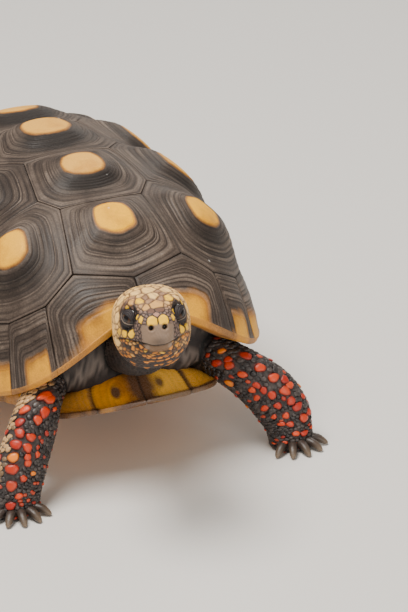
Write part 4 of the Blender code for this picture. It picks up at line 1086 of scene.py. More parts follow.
def head_zones(points):
    """Masks of the head's zones at points of its surface."""
    x, y, z = np.abs(points[..., 0]), points[..., 1], points[..., 2]
    half = np.stack([x, y, z], axis=-1)
    orbit, _ = orbit_place()
    stretched = (half - orbit - (0.0, 0.6, 1.2)) * (1.0, 0.85, 0.82)
    above = z - np.interp(y, *MOUTH_LINE)
    return {
        "crown": ramp(z + 0.12 * y, 7.0, 10.5),
        "temple": ramp(x + 0.25 * y, 14.5, 17.0) * ramp(z, -9.0, -5.0),
        "snout": (1 - ramp(y, 8.0, 12.0)) * (1 - ramp(z, 5.0, 8.0)),
        "eye": 1 - ramp(np.linalg.norm(stretched, axis=-1), 4.9, 6.4),
        "jaw": ramp(-above, -0.2, 0.6) * (1 - ramp(-above, 4.2, 6.5)) * (1 - ramp(y, 20, 26)),
        "throat": ramp(-above, 4.2, 6.5) * (1 - ramp(y, 26, 34)),
        "beak": (1 - ramp(x + 0.35 * y, 6.4, 7.8)) * (1 - ramp(z, -0.4, 1.0)) * (1 - ramp(-above, 2.4, 3.2)),
        "above": above,
    }


def head_features(grid):
    """Relief and colour of the head's grid: scales between grooves, the beak, the mouth and the nostrils."""
    shape = grid.shape[:2]
    flat = grid.reshape(-1, 3)
    x, y, z = flat.T
    normal = normals_of(grid).reshape(-1, 3)
    named = np.array([(sx, sy, sz, r) for _, r, sx, sy, sz in FACE_SCALES])
    nearest = np.argmin(np.linalg.norm(flat[None] - named[:, None, :3], axis=2), axis=1)
    named[:, :3] = flat[nearest]

    def spacing(places):
        """Half the gap between scales at places on the head."""
        zone = head_zones(places)
        gap = 0.80 + 0.55 * zone["crown"] + 0.25 * zone["temple"] - 0.25 * zone["eye"] - 0.1 * zone["snout"]
        far_back = 0.03 * np.maximum(places[:, 1] - 22, 0)
        return np.clip(gap + 0.1 * zone["jaw"] + 0.2 * zone["throat"] + far_back, 0.42, 1.5)

    seeds = scatter_seeds(flat[y > 1.2], spacing, named, 5)
    zone = head_zones(flat)
    seed_zone = head_zones(seeds[:, :3])
    seed_normal = normal[[np.argmin(np.linalg.norm(flat - seed[:3], axis=1)) for seed in seeds]]
    lie = np.cross(seed_normal, (0.0, 0.0, 1.0))
    lie /= np.maximum(np.linalg.norm(lie, axis=1, keepdims=True), 1e-6)
    stretch = 1 + 1.5 * np.clip(seed_zone["jaw"] + 0.3 * seed_zone["throat"], 0, 1)
    face = slice(0, len(FACE_SCALES))
    cheek_scale = (seeds[face, 2] < -1.0) & (seeds[face, 2] > -4.0) & (seeds[face, 1] > 6)
    stretch[face] = np.where((seed_zone["jaw"][face] > 0.3) | cheek_scale, 1.7, 1.0)
    lore_scale = (np.abs(seeds[face, 0]) > 5.5) & (seeds[face, 1] < 8) & (seeds[face, 2] > 1)
    lie[face][lore_scale] = (0.0, 0.35, 0.93)
    stretch[face][lore_scale] = 1.6
    shrink = 1 - 1 / stretch**2
    gap, owner = np.empty(len(flat)), np.empty(len(flat), int)
    for part in np.array_split(np.arange(len(flat)), 60):
        away = flat[part][:, None] - seeds[None, :, :3]
        along = (away * lie[None]).sum(axis=2)
        far = np.sqrt(np.maximum((away**2).sum(axis=2) - shrink * along**2, 0)) - seeds[None, :, 3]
        two = np.partition(far, 1, axis=1)[:, :2]
        gap[part], owner[part] = two[:, 1] - two[:, 0], far.argmin(axis=1)
    random = np.random.default_rng(8)
    value = random.random(len(seeds))[owner]

    crown, temple, jaw, throat, eye, snout, above, beak = (
        zone[k] for k in ("crown", "temple", "jaw", "throat", "eye", "snout", "above", "beak")
    )
    front = 1 - ramp(y, 20.0, 23.0)
    line = 1 - ramp(gap, 0.0, 0.75 + 0.30 * crown)
    height = 0.30 + 0.08 * crown
    lift = height * (0.3 - line) * (1 - beak) + 0.10 * (value - 0.5) * (1 - beak)
    lift = lift - 0.85 * bell(above, 0, 0.36) * front
    lift = lift - 0.55 * ramp(-above, -0.1, 0.4) * (1 - ramp(-above, 2.0, 6.0)) * front
    ear = np.linalg.norm(flat * (0, 1, 1) - (0, 29.0, 1.0), axis=1)
    lift = lift - 0.5 * bell(ear, 0, 3.6) * (np.abs(x) > 9)
    lift = lift + 0.05 * beak * np.sin(x * 4.2 + 1.5 * np.sin(z * 0.9)) * np.sin(z * 3.1 + x)
    moved = flat + normal * lift[:, None]
    hole = np.zeros(len(flat))
    for side, level in NOSTRILS:
        away = np.hypot(x - side, (z - level) * 0.9)
        hole = np.maximum(hole, (1 - ramp(away, 0.45 * NOSTRIL_RADIUS, 1.25 * NOSTRIL_RADIUS)) * (y < 4))
        moved[:, 1] -= 0.18 * bell(away, 1.6, 0.5) * (y < 4)
    moved[:, 1] += NOSTRIL_DEPTH * hole

    # Colours: the zones from the crown down, then the named scales, the grooves, the beak and the holes.
    cheek = (1 - ramp(np.abs(z + 3), 3.0, 5.0)) * (1 - ramp(y, 14, 20))
    tint = blended(np.tile(TEMPLE, (len(flat), 1)), CHEEK, cheek)
    brow = crown * (1 - ramp(y, 13.0, 21.0))
    for colour, mask in (
        (CROWN, np.maximum(crown, temple * 0.85)),
        (BROW_MAUVE, brow * (value < 0.34) * 0.8),
        (BROW_GOLD, brow * (value > 0.62) * 0.8),
        (SNOUT, snout),
        (JAW, jaw),
        (SCALE_COLOURS["orange"], jaw * (value > 0.42) * 0.75),
        (SCALE_COLOURS["tan"], jaw * (value > 0.66) * 0.9),
        (SCALE_COLOURS["yellow"], jaw * (value > 0.90) * 0.7),
        (LINE_BLACK, jaw * (value < 0.24) * 0.85),
        (THROAT, throat),
        (SCALE_COLOURS["orange"], throat * (value > 0.74) * 0.6),
        # Black round each eye: partly the skin's own dark colour, partly painted shade of the orbit sunk
        # under the brow.
        (EYE_BLACK, eye),
        (EYE_BROWN, eye * (value > 0.70) * 0.6),
    ):
        tint = blended(tint, colour, mask)
    tint = tint * (0.68 + 0.56 * value)[:, None]
    for i, (colour, *_) in enumerate(FACE_SCALES):
        tint = blended(tint, SCALE_COLOURS[colour], (owner == i) * ramp(gap, 0.1, 0.85))
    streak = np.sin(flat @ (1.9, 0.7, 1.3) + 2.2 * np.sin(flat @ (0.6, 1.1, -0.8)) + 9 * value)
    shade = np.clip(1 - ramp(gap, 0.25, 1.3) + 0.55 * ramp(streak, 0.35, 1.0), 0, 1)
    shade = shade * (0.45 + 0.5 * value)
    tint = blended(tint, SCALE_SHADE, shade * np.maximum(crown, 0.5 * temple))
    pale_skin = np.maximum(crown, temple) * (1 - eye)
    groove = blended(np.tile(LINE_BLACK, (len(flat), 1)), LINE_BROWN, pale_skin)
    in_groove = 1 - ramp(gap, 0.0, 0.85 + 0.2 * crown)
    tint = blended(tint, groove, in_groove * (0.95 - 0.10 * crown))
    keep = beak * (1 - (owner < len(FACE_SCALES)) * ramp(z, 0.1, 0.9))
    tint = blended(tint, BEAK_HORN, keep)
    tint = blended(tint, BEAK_DARK, beak * bell(z, -6.4, 1.6) * bell(x, 0, 3.2) * 0.6)
    lower_beak = (1 - ramp(np.abs(x), 3.4, 4.6)) * (1 - ramp(-above, 3.4, 4.4))
    tint = blended(tint, LOWER_BEAK, jaw * lower_beak)
    # Painted shade: the nostril holes are filled black; the mouth line is drawn black.
    tint = blended(tint, LINE_BLACK, np.maximum(hole * 1.3, bell(above, -0.1, 0.42) * front * 0.95))
    gloss = 0.32 + 0.28 * beak + 0.16 * crown
    return moved.reshape(*shape, 3), {"tint": tint.reshape(*shape, 3), "gloss": gloss.reshape(shape)}


def from_eye(points, side):
    """The eyeball's centre, and each point's direction, distance and angle off the eye's axis from there."""
    centre = eye_centre(side)
    _, axis = orbit_place(side)
    away = points - centre
    far = np.linalg.norm(away, axis=-1)
    return centre, away / far[..., None], far, np.degrees(np.arccos(np.clip((away @ axis) / far, -1, 1)))


def make_sockets(points):
    """Skin near an eye drawn inside the eyeball, rising again beyond it, swelling over the ball's sides."""
    for side in (1, -1):
        centre, out, far, off = from_eye(points, side)
        floor_level = EYE_RADIUS - 0.8 + 1.2 * ramp(off, 50.0, 62.0)
        over = np.maximum(far - floor_level, 0.0)
        sunk = floor_level + over * ramp(over, 0.8, 4.5)
        swell = (EYE_RADIUS + 0.55) * (1 - 0.30 * ramp(off, 66.0, 125.0))
        level = np.where((off < 64.0) & (far > floor_level), sunk + (far - sunk) * ramp(off, 52, 64), far)
        level = np.where((off >= 64.0) & (off < 125.0), np.maximum(far, swell), level)
        points = centre + out * level[..., None]
    return points


def clear_eyes(points):
    """Skin that came to lie close to an eyeball's front put back under its surface."""
    for side in (1, -1):
        centre, out, far, off = from_eye(points, side)
        level = np.where((off < 58.0) & (far < EYE_RADIUS + 0.3), np.minimum(far, EYE_RADIUS - 0.4), far)
        points = centre + out * level[..., None]
    return points


# The neck's path, in the body's frame, goes on from the back of the head into the shell.
NECK_STATIONS = (
    (-3.0, -108.0, 69.0, 11.0, 10.4), (-1.0, -97.0, 59.0, 11.6, 10.4), (0.0, -84.0, 54.0, 12.5, 10.6),
    (0.0, -70.0, 52.0, 13.0, 11.0),
)


def head_and_neck(columns=288, neck_rows=54):
    """One tube from the snout's tip to the neck's foot in the shell, with its marks."""
    head = head_rings(columns)
    shaped, marks = head_features(make_sockets(head))
    shaped = from_head(clear_eyes(shaped))
    behind = from_head((0.0, HEAD_LENGTH, 0.0))
    back = from_head((0.0, 1.0, 0.0)) - from_head((0.0, 0.0, 0.0))
    stations = [(*behind, 12.4, 11.6), (*(behind + back * 7 - (0, 0, 2)), 11.4, 10.8), *NECK_STATIONS]
    neck = limb_tube(stations, (0, -0.3, 1), 60, columns, 0.22, 1.0)
    rings = np.concatenate([from_head(head[-14:]), neck])
    middle = rings.mean(axis=1)
    along = np.concatenate([[0], np.cumsum(np.linalg.norm(np.diff(middle, axis=0), axis=1))])
    smooth = catmull_rom(rings, along, np.linspace(along[13], along[-1], neck_rows + 1)[1:])
    far = np.linspace(0, 1, neck_rows)[:, None] * (along[-1] - along[13])
    angle = np.arange(columns)[None] / columns * 2 * np.pi
    sway = 1.4 * np.sin(angle * 2 + 0.6) + 0.9 * np.sin(angle * 5 + far * 0.09)
    folds = 0.75 * (np.abs(np.sin((far + sway) / 4.6 * np.pi)) ** 0.7 - 0.55) * ramp(far, 0, 12)
    grown, rise, value = granulate(smooth, 1.25, 0.30, 21, folds)
    light = ramp(rise, 0.1, 1.0) * (0.55 + 0.45 * value) * ramp(folds, -0.5, 0.3)
    tint = blended(np.array(SKIN_BLACK), SKIN_FOLD, light)
    # Painted shade: the underside of the neck darkened to black.
    under = ramp(smooth[..., 2] - smooth[..., 2].mean(axis=1)[:, None], 5.0, -4.0)
    tint = blended(tint, SKIN_BLACK, 0.9 * under)
    tint = blended(marks["tint"][-1:], tint, np.repeat(ramp(far, 0, 7), columns, axis=1))
    gloss = np.concatenate([marks["gloss"], 0.2 + 0 * rise])
    tint = np.concatenate([marks["tint"], tint])
    return np.concatenate([shaped, grown]), {"tint": tint, "gloss": gloss}


# ---- legs and tail
# Stout legs that end in flat soles, and a short pointed tail. Their skin is black and granular, creased at
# the elbows and knees.

SKIN_GREY, RED_UNDER = (0.066, 0.052, 0.048), (0.15, 0.012, 0.006)
# Stations of x, y, z, half width and half depth.
FORELEG_LEFT = (
    (22.0, -58.0, 40.0, 10.0, 9.0), (35.0, -74.0, 40.0, 10.0, 9.0), (45.0, -86.0, 35.5, 10.4, 9.0),
    (55.5, -92.0, 26.0, 11.8, 9.0), (62.0, -95.0, 15.5, 11.6, 9.0), (64.0, -96.5, 6.0, 10.2, 9.0),
    (64.5, -97.0, -3.0, 10.2, 9.4),
)
FORELEG_RIGHT = (
    (-22.0, -58.0, 40.0, 10.0, 9.0), (-34.5, -75.0, 41.0, 10.0, 9.0), (-43.0, -88.0, 38.0, 10.4, 9.0),
    (-50.5, -95.0, 28.0, 11.4, 9.0), (-56.5, -99.0, 17.0, 11.4, 9.0), (-59.5, -101.0, 6.5, 10.2, 9.0),
    (-60.0, -101.5, -3.0, 10.2, 9.4),
)
HINDLEG = (
    (24.0, 50.0, 30.0, 11.0, 11.0), (36.0, 61.0, 28.0, 13.0, 12.0), (45.0, 71.0, 21.0, 13.0, 12.0),
    (49.0, 77.0, 12.0, 11.5, 11.0), (50.0, 79.0, 4.0, 11.0, 10.5), (50.0, 79.5, -4.0, 11.2, 10.6),
)
TAIL = (
    (0.0, 70.0, 23.0, 8.0, 7.0), (1.5, 84.0, 20.0, 7.0, 6.0), (4.5, 95.0, 16.0, 5.0, 4.5),
    (8.0, 103.0, 11.0, 3.0, 2.8), (10.0, 108.0, 8.0, 1.0, 1.0),
)
COAT_DEPTH = 0.9
# Rows of large red scales: how many, their length, and the row's line as (share of the leg, degrees round).
REDS_FORE_LEFT = (
    (9, 4.6, ((0.335, 343), (0.43, 328), (0.53, 320), (0.60, 308), (0.68, 308), (0.79, 300), (0.90, 292))),
    (6, 3.6, ((0.50, 342), (0.57, 335), (0.67, 340), (0.79, 328), (0.90, 330))),
    (10, 4.0, ((0.27, 303), (0.33, 302), (0.40, 287), (0.47, 282), (0.52, 282), (0.61, 272), (0.71, 264),
               (0.80, 270))),
    (2, 3.2, ((0.255, 338), (0.30, 318))),
    (7, 3.6, ((0.34, 250), (0.42, 264), (0.46, 248), (0.52, 251), (0.57, 224), (0.64, 250), (0.71, 240),
              (0.85, 236))),
    (5, 3.0, ((0.40, 202), (0.48, 196), (0.63, 186), (0.76, 176), (0.88, 200))),
    (4, 3.0, ((0.45, 20), (0.60, 12), (0.75, 16), (0.88, 8))),
)
REDS_FORE_RIGHT = (
    (9, 4.8, ((0.39, 188), (0.46, 196), (0.52, 202), (0.57, 206), (0.64, 210), (0.72, 216), (0.83, 232),
              (0.93, 240))),
    (11, 4.4, ((0.32, 213), (0.36, 234), (0.41, 232), (0.52, 230), (0.57, 237), (0.63, 248), (0.73, 248),
               (0.94, 264))),
    (4, 3.0, ((0.35, 262), (0.46, 272), (0.56, 266), (0.66, 276))),
    (5, 3.0, ((0.42, 330), (0.55, 340), (0.68, 334), (0.86, 330))),
    (4, 3.0, ((0.50, 160), (0.62, 168), (0.76, 164), (0.88, 176))),
)
REDS_HIND = (
    (5, 3.4, ((0.45, 300), (0.60, 312), (0.75, 318), (0.92, 316))),
    (5, 3.2, ((0.50, 272), (0.66, 282), (0.82, 278), (0.94, 284))),
    (4, 3.0, ((0.55, 236), (0.70, 240), (0.90, 246))),
    (3, 2.8, ((0.60, 350), (0.75, 356), (0.90, 350))),
)


def laid_out(rows):
    """(share, degrees, length) of every large scale, spaced evenly along its row with a little wander."""
    random = np.random.default_rng(17)
    made = []
    for count, length, line in rows:
        share, degrees = np.array(line).T
        at = np.linspace(0, len(line) - 1, count)
        places = np.stack([np.interp(at, np.arange(len(line)), v) for v in (share, degrees)], axis=1)
        places += random.normal(0, 1, places.shape) * (0.006, 2.5)
        made.append(np.concatenate([places, length * random.uniform(0.8, 1.12, (count, 1))], axis=1))
    return np.concatenate(made)


def mirrored_stations(stations):
    """A leg's stations on the other side."""
    return tuple((-x, *rest) for x, *rest in stations)


def mirrored_rows(rows):
    """Rows of scales for a mirrored leg: the angle round it runs the other way from the front."""
    return tuple((count, size, tuple((t, 540 - a) for t, a in line)) for count, size, line in rows)


def flat_footed(grid, level=4.0):
    """The foot's last rows brought down evenly to a flat sole on the floor, its edge rounded in."""
    last = np.minimum(grid[-1, :, 2], -0.5)
    z = grid[..., 2]
    grid = grid.copy()
    grid[..., 2] = np.where(z < level, level + (z - level) * level / (level - last[None]), z)
    middle = grid.mean(axis=1, keepdims=True)
    inward = 1.1 * np.clip(1 - grid[..., 2] / 1.6, 0, 1) ** 2
    away = (grid - middle)[..., :2]
    grid[..., :2] -= away / np.linalg.norm(away, axis=-1, keepdims=True) * inward[..., None]
    return grid


def limb_marks(rise, value):
    """Granules grey on top and black between."""
    tint = blended(np.array(SKIN_BLACK), SKIN_GREY, ramp(rise, 0.15, 1.0) * (0.35 + 0.65 * value))
    return {"tint": tint, "gloss": 0.2 + 0 * rise}


def bare_leg(stations, rows, columns, inset=COAT_DEPTH):
    """A leg's smooth form, so much inside its outline."""
    lean = np.array(stations, float)
    lean[:, 3:] -= inset
    return limb_tube(lean, (0, 1, 0.4), rows, columns)


def leg_tube(stations, rows, columns, seed, reds):
    """A leg's skin inside its coat, creased across the elbow or knee, red under the red scales."""
    grid = bare_leg(stations, rows, columns)
    share = np.linspace(0, 1, rows)[:, None]
    angle = np.arange(columns)[None] / columns * 2 * np.pi
    folds = 0.26 * np.sin((share * 13 + 0.25 * np.sin(angle * 2)) * 2 * np.pi)
    folds = folds * (0.35 + 0.65 * bell(share, 0.45, 0.2))
    grown, rise, value = granulate(grid, 1.5, 0.20, seed, folds * (1 - ramp(share, 0.8, 0.9)))
    marks = limb_marks(rise, value)
    length, radius = leg_measures(grid)
    for at, degrees, size in laid_out(reds):
        across = (np.degrees(angle) - degrees + 180) % 360 - 180
        away = np.hypot((share - at) * length, np.radians(across) * radius[:, None])
        marks["tint"] = blended(marks["tint"], RED_UNDER, 1 - ramp(away, 0.28 * size, 0.46 * size))
    return flat_footed(grown), marks


def leg_measures(grid):
    """A leg's length, and its mean radius at each row."""
    middle = grid.mean(axis=1)
    radius = np.linalg.norm(grid - middle[:, None], axis=2).mean(axis=1)
    return np.linalg.norm(np.diff(middle, axis=0), axis=1).sum(), radius


# Each leg's stations, its rows of red scales, the skin's rows and its seed.
LEGS = {
    "foreleg_left": (FORELEG_LEFT, REDS_FORE_LEFT, 62, 31),
    "foreleg_right": (FORELEG_RIGHT, REDS_FORE_RIGHT, 62, 32),
    "hindleg_left": (HINDLEG, REDS_HIND, 52, 33),
    "hindleg_right": (mirrored_stations(HINDLEG), mirrored_rows(REDS_HIND), 52, 34),
}


def tail_tube(rows=60, columns=54):
    """The tail's skin, bent to the left, with its marks."""
    grid = limb_tube(TAIL, (0, 0, 1), rows, columns)
    grown, rise, value = granulate(grid, 1.5, 0.25, 44)
    return grown, limb_marks(rise, value)


# ---- the body inside the shell
# The rest of the body fills the shell. It shows only in front and behind, where loose skin lies in folds
# round the neck and the legs.

FRONT_POCKET, REAR_POCKET, UNDER_PLATE_GAP = 9.0, 5.0, 1.3
TRUNK_BOTTOM, TRUNK_BOTTOM_POWER = 18.0, 5.0


def trunk_grid(rows=64):
    """Rings round the body from its crown down to its floor, closer together where it shows."""
    left_rear, right_rear = np.linspace(-180, -70, 34)[:-1], np.linspace(70, 180, 34)[1:-1]
    azimuth = np.concatenate([left_rear, np.linspace(-70, 70, 150), right_rear])
    level = np.concatenate([np.linspace(1.92, 0.5, 12), np.linspace(0.45, -0.78, rows - 12)])[:, None]
    side, around = np.where(azimuth < 0, -1.0, 1.0), np.abs(azimuth)[None]
    joints = ((0.0, 22.7), (15.0, 25.4), *RIM_TOP_JOINTS, (180.0, 21.5))
    rim, seam = rim_elevation(around), np.interp(around, *zip(*joints))
    elevation = np.where(level > 1, seam + (88 - seam) * (level - 1), rim + (seam - rim) * level)
    elevation = np.where(level > 0, elevation, rim - 2 + (80 + rim) * level)
    pocket = FRONT_POCKET * bell(around, 0, 34) + REAR_POCKET * bell(around, 180, 50)
    inset = rim_depth(around, np.clip(level, 0, 1)) + UNDER_PLATE_GAP
    inset = inset + (0.8 + pocket) * np.clip((0.35 - level) / 0.5, 0, 1) + 8.0 * ramp(level, 0.4, 0.8)
    d = direction_at(around + 0 * level, elevation, side[None])
    above = d * (dome_radius(d) - inset)[..., None]
    flat = direction_at(around + 0 * level, 0 * elevation, side[None])
    out = np.hypot(d[..., 0], d[..., 1])
    reach = dome_radius(flat) - inset
    power = TRUNK_BOTTOM_POWER
    low = (out / reach) ** power + (np.maximum(-d[..., 2], 0) / TRUNK_BOTTOM) ** power
    grid = np.where((d[..., 2] >= 0)[..., None], above, d * (low ** (-1 / power))[..., None])
    grid = from_shell(grid)
    folds = 0.55 * np.sin(level * 46 + 0.6 * np.sin(np.radians(azimuth) * 9)[None])
    folds = folds * ramp(0.4 - level, 0, 0.2)
    grown, rise, value = granulate(grid, 2.4, 0.35, 61, folds)
    light = ramp(rise, 0.1, 1.0) * (0.4 + 0.4 * value) * ramp(folds, -0.5, 0.4)
    tint = blended(np.array(SKIN_BLACK), SKIN_FOLD, light)
    return grown, {"tint": tint, "gloss": 0.2 + 0 * rise}


# ---- eyelids
# Two soft lids on each eyeball, dark, meeting at the corners of a slanted opening; a thin pale line is
# painted along the lower lid's edge as a highlight.

# The lid's section: distance out from the opening, height over the eyeball.
LID_PROFILE = (
    (0.05, -0.9), (-0.05, -0.2), (0.0, 0.12), (0.14, 0.34), (0.38, 0.44), (0.7, 0.42), (1.0, 0.34),
    (1.2, 0.40), (1.6, 0.42), (2.1, 0.36), (2.7, 0.1), (3.3, -0.5), (3.4, -1.3), (2.2, -1.6), (1.0, -1.5),
)
LID_TOP, LID_EDGE_HIGHLIGHT = (0.030, 0.021, 0.020), (0.42, 0.30, 0.20)
LID_HALF_LENGTH, LID_HALF_HEIGHT, LID_SLANT = 3.9, 1.4, 38.0


def lids(side, around=110):
    """A ring on the eyeball: the lid's section carried round the opening, a slanted superellipse."""
    angle = np.arange(around) / around * 2 * np.pi
    c, s = np.cos(angle), np.sin(angle)
    opening = (np.abs(c) / LID_HALF_LENGTH) ** 1.5 + (np.abs(s) / LID_HALF_HEIGHT) ** 1.5
    opening = opening ** (-1 / 1.5) * (1 - 0.12 * np.maximum(s, 0))
    q, h = np.array(LID_PROFILE).T
    fine = np.linspace(0, len(q) - 1, 44)
    q, h = (catmull_rom(w, np.arange(len(w)), fine)[:, None] for w in (q, h))
    off = (opening[None] + q * (1 - 0.45 * c[None] ** 2)) / EYE_RADIUS
    crease = 0.13 * np.sin(q * 7.0) * ramp(q, 0.5, 1.0) * (h > -0.3)
    radius = EYE_RADIUS + h + crease
    centre = eye_centre(side)
    _, axis = orbit_place(side)
    up = np.array((0.0, 0.0, 1.0))
    back = np.cross(up, axis) * side
    slant = math.radians(LID_SLANT)
    long = back * math.cos(slant) + up * math.sin(slant)
    short = up * math.cos(slant) - back * math.sin(slant)
    out = long * c[:, None] + short * s[:, None]
    ring = axis * np.cos(off)[..., None] + out[None] * np.sin(off)[..., None]
    grid = centre + ring * radius[..., None]
    # Painted highlight: a thin pale line along the lower lid's wet edge.
    edge = bell(q, 0.25, 0.16) * (h > 0) * (1 - ramp(s, -0.2, 0.5))[None] * 0.5
    tint = blended(np.array(EYE_BLACK), LID_TOP, ramp(crease + 0 * angle, 0.0, 0.13))
    tint = blended(tint, LID_EDGE_HIGHLIGHT, edge)
    return from_head(grid), {"tint": tint, "gloss": 0.2 + 0 * off}


def ring_piece(grid):
    """Points and quads of a grid closed both ways."""
    rows, columns = grid.shape[:2]
    closed = np.concatenate([grid, grid[:1]])
    faces = grid_faces(rows + 1, columns) % (rows * columns)
    points = closed[:-1].reshape(-1, 3)
    return points, [faces[:, ::-1]] if turned_out(points, faces) else [faces]


# ---- skin
# One closed skin covers the head, neck, legs, tail and body, and the lids grow out of it. The tubes are
# united, and the crease where two of them meet is relaxed, so that the skin runs on without a seam.

SKIN_MARKS = ("red", "green", "blue", "gloss", "tube")
LID_TUBE = 8
SKIN_DUST, SKIN_STAIN = (0.35, 0.30, 0.26), (0.03, 0.022, 0.02)
LEG_PARTS = [f"{leg}_{part}" for leg in LEGS for part in ("upper", "lower")]
FLESH_NODES = ["trunk", "neck", "head", "lower_jaw", "tail", *LEG_PARTS]


def flesh_object(name, points, faces, marks, number):
    """A closed form for the union, with its tint, its gloss and the number of its tube on the points."""
    mesh = new_mesh(name, points, faces)[0]
    extra = len(points) - marks["gloss"].size
    gloss = np.concatenate([marks["gloss"].ravel(), np.full(extra, marks["gloss"].ravel()[-1])])
    tint = marks["tint"].reshape(-1, 3)
    tint = np.concatenate([tint, tint[-1:].repeat(extra, axis=0)])
    add_marks(mesh, dict(zip(SKIN_MARKS, (*tint.T, gloss, np.full(len(points), float(number))))))
    piece = bpy.data.objects.new(name, mesh)
    bpy.context.scene.collection.objects.link(piece)
    return piece


def relax_creases(points, edges, near, rounds=6):
    """Points near a crease moved to the mean of their neighbours, a few times over."""
    count = np.bincount(edges.ravel(), minlength=len(points)).astype(float)
    for _ in range(rounds):
        total = np.zeros_like(points)
        for axis in range(3):
            total[:, axis] = np.bincount(edges[:, 0], points[edges[:, 1], axis], len(points))
            total[:, axis] += np.bincount(edges[:, 1], points[edges[:, 0], axis], len(points))
        mean = total / np.maximum(count, 1)[:, None]
        points = points + (mean - points) * (0.6 * near)[:, None]
    return points


def united_flesh():
    """The union of the head and neck with the legs, the tail, the body and the lids, as one mesh."""
    legs = [leg_tube(stations, rows, 64, seed, reds) for stations, reds, rows, seed in LEGS.values()]
    tubes = [head_and_neck(), *legs, tail_tube(), trunk_grid()]
    pieces = []
    for i, (grid, marks) in enumerate(tubes):
        pieces.append(flesh_object(f"flesh_{i}", *closed_tube(grid), marks, i))
    for side in (1, -1):
        grid, marks = lids(side)
        pieces.append(flesh_object(f"lids_{side}", *ring_piece(grid), marks, LID_TUBE))
    base, rest = pieces[0], pieces[1:]
    for piece in rest:
        join = base.modifiers.new(piece.name, "BOOLEAN")
        join.operation, join.object, join.solver = "UNION", piece, "MANIFOLD"
    graph = bpy.context.evaluated_depsgraph_get()
    mesh = bpy.data.meshes.new_from_object(base.evaluated_get(graph))
    for piece in pieces:
        bpy.data.objects.remove(piece)
    return mesh


def crease_weight(edges, tube, count):
    """1 at the points where two tubes meet, fading over a few rings of neighbours."""
    near = np.zeros(count)
    apart = np.abs(tube[edges[:, 0]] - tube[edges[:, 1]]) > 0.01
    near[edges[apart].ravel()] = 1.0
    for _ in range(3):
        spread = np.zeros(count)
        np.maximum.at(spread, edges[:, 0], near[edges[:, 1]])
        np.maximum.at(spread, edges[:, 1], near[edges[:, 0]])
        near = np.maximum(near, 0.72 * spread)
    return near


def make_skin_finish():
    """The colours laid on the skin's points, a little dusty and stained, and glossier on the beak."""
    material, tree, shader, worn = new_finish("tortoise_skin", 0.62, 0.4)
    tint = tree.nodes.new("ShaderNodeAttribute")
    tint.attribute_name = "tint"
    dust = remap(tree, worn.outputs["Grain"], 0.5, 0.9, 0.0, 0.06)
    colour = mix_colour(tree, tint.outputs["Color"], SKIN_DUST, dust)
    stain = remap(tree, worn.outputs["Stain"], 0.55, 0.9, 0.0, 0.25)
    colour = mix_colour(tree, colour, SKIN_STAIN, stain)
    tree.links.new(colour, shader.inputs["Base Color"])
    tree.links.new(remap(tree, read_mark(tree, "gloss"), 0.0, 1.0, 0.75, 0.25), shader.inputs["Roughness"])
    add_bump(tree, shader, worn.outputs["Height"], 0.25, 0.0003)
    return material


def add_skin():
    """The united skin as one piece in the place of all the flesh."""
    mesh = united_flesh()
    count = len(mesh.vertices)
    points = np.empty(count * 3, np.float32)
    mesh.vertices.foreach_get("co", points)
    points = points.reshape(-1, 3).astype(float)
    edges = np.empty(len(mesh.edges) * 2, np.int32)
    mesh.edges.foreach_get("vertices", edges)
    edges = edges.reshape(-1, 2)
    marks = np.empty((len(SKIN_MARKS), count), np.float32)
    for i, mark in enumerate(SKIN_MARKS):
        mesh.attributes[mark].data.foreach_get("value", marks[i])
        mesh.attributes.remove(mesh.attributes[mark])
    near = crease_weight(edges, marks[4], count)
    near[(points[:, 2] < 0.05) | (marks[4] > LID_TUBE - 0.5)] = 0.0
    points = relax_creases(points, edges, near)
    mesh.vertices.foreach_set("co", (points * MM - ORIGIN).astype(np.float32).ravel())
    rgba = np.concatenate([marks[:3], np.ones((1, count), np.float32)]).T
    tint = mesh.attributes.new("tint", "FLOAT_COLOR", "POINT")
    tint.data.foreach_set("color", np.ascontiguousarray(rgba).ravel())
    add_marks(mesh, {"gloss": marks[3]})
    mesh.materials.clear()
    mesh.materials.append(make_skin_finish())
    mesh.shade_smooth()
    mesh.name = "skin"
    piece = bpy.data.objects.new("skin", mesh)
    bpy.context.scene.collection.objects.link(piece)
    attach(piece, "root")
    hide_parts(*FLESH_NODES)


add_skin()

# ---- leg scales
# The legs' coat: small horny black scales, cream on part of each leg's outer side, and rows of large red and
# orange ones between them. Each is a low dome whose lower edge stands up a little.

SCALE_BLACK, SCALE_GREY, SCALE_STAIN = (0.018, 0.014, 0.014), (0.07, 0.055, 0.05), (0.04, 0.03, 0.028)
SCALE_DEEP_RED, SCALE_RED, SCALE_AMBER = (0.40, 0.010, 0.0), (0.72, 0.060, 0.0), (0.90, 0.24, 0.0)
SCALE_EDGE, SCALE_CREAM = (0.10, 0.012, 0.010), (0.62, 0.36, 0.15)
SMALL_SPACING, PATCH_HALF = 2.05, 0.0015


def on_leg(grid, normal, share, degrees):
    """Points and normals of the leg's surface between its rows and columns."""
    rows, columns = grid.shape[:2]
    row = np.clip(share, 0, 1) * (rows - 1)
    column = np.mod(degrees, 360) / 360 * columns
    i, j = np.minimum(row.astype(int), rows - 2), column.astype(int) % columns
    s, t = (row - i)[..., None], (column - np.floor(column))[..., None]
    k = (j + 1) % columns

    def between(values):
        """Values at the four grid points round each place, mixed by how near they are."""
        upper, lower = (values[r, j] * (1 - t) + values[r, k] * t for r in (i, i + 1))
        return upper * (1 - s) + lower * s

    return between(grid), between(normal)


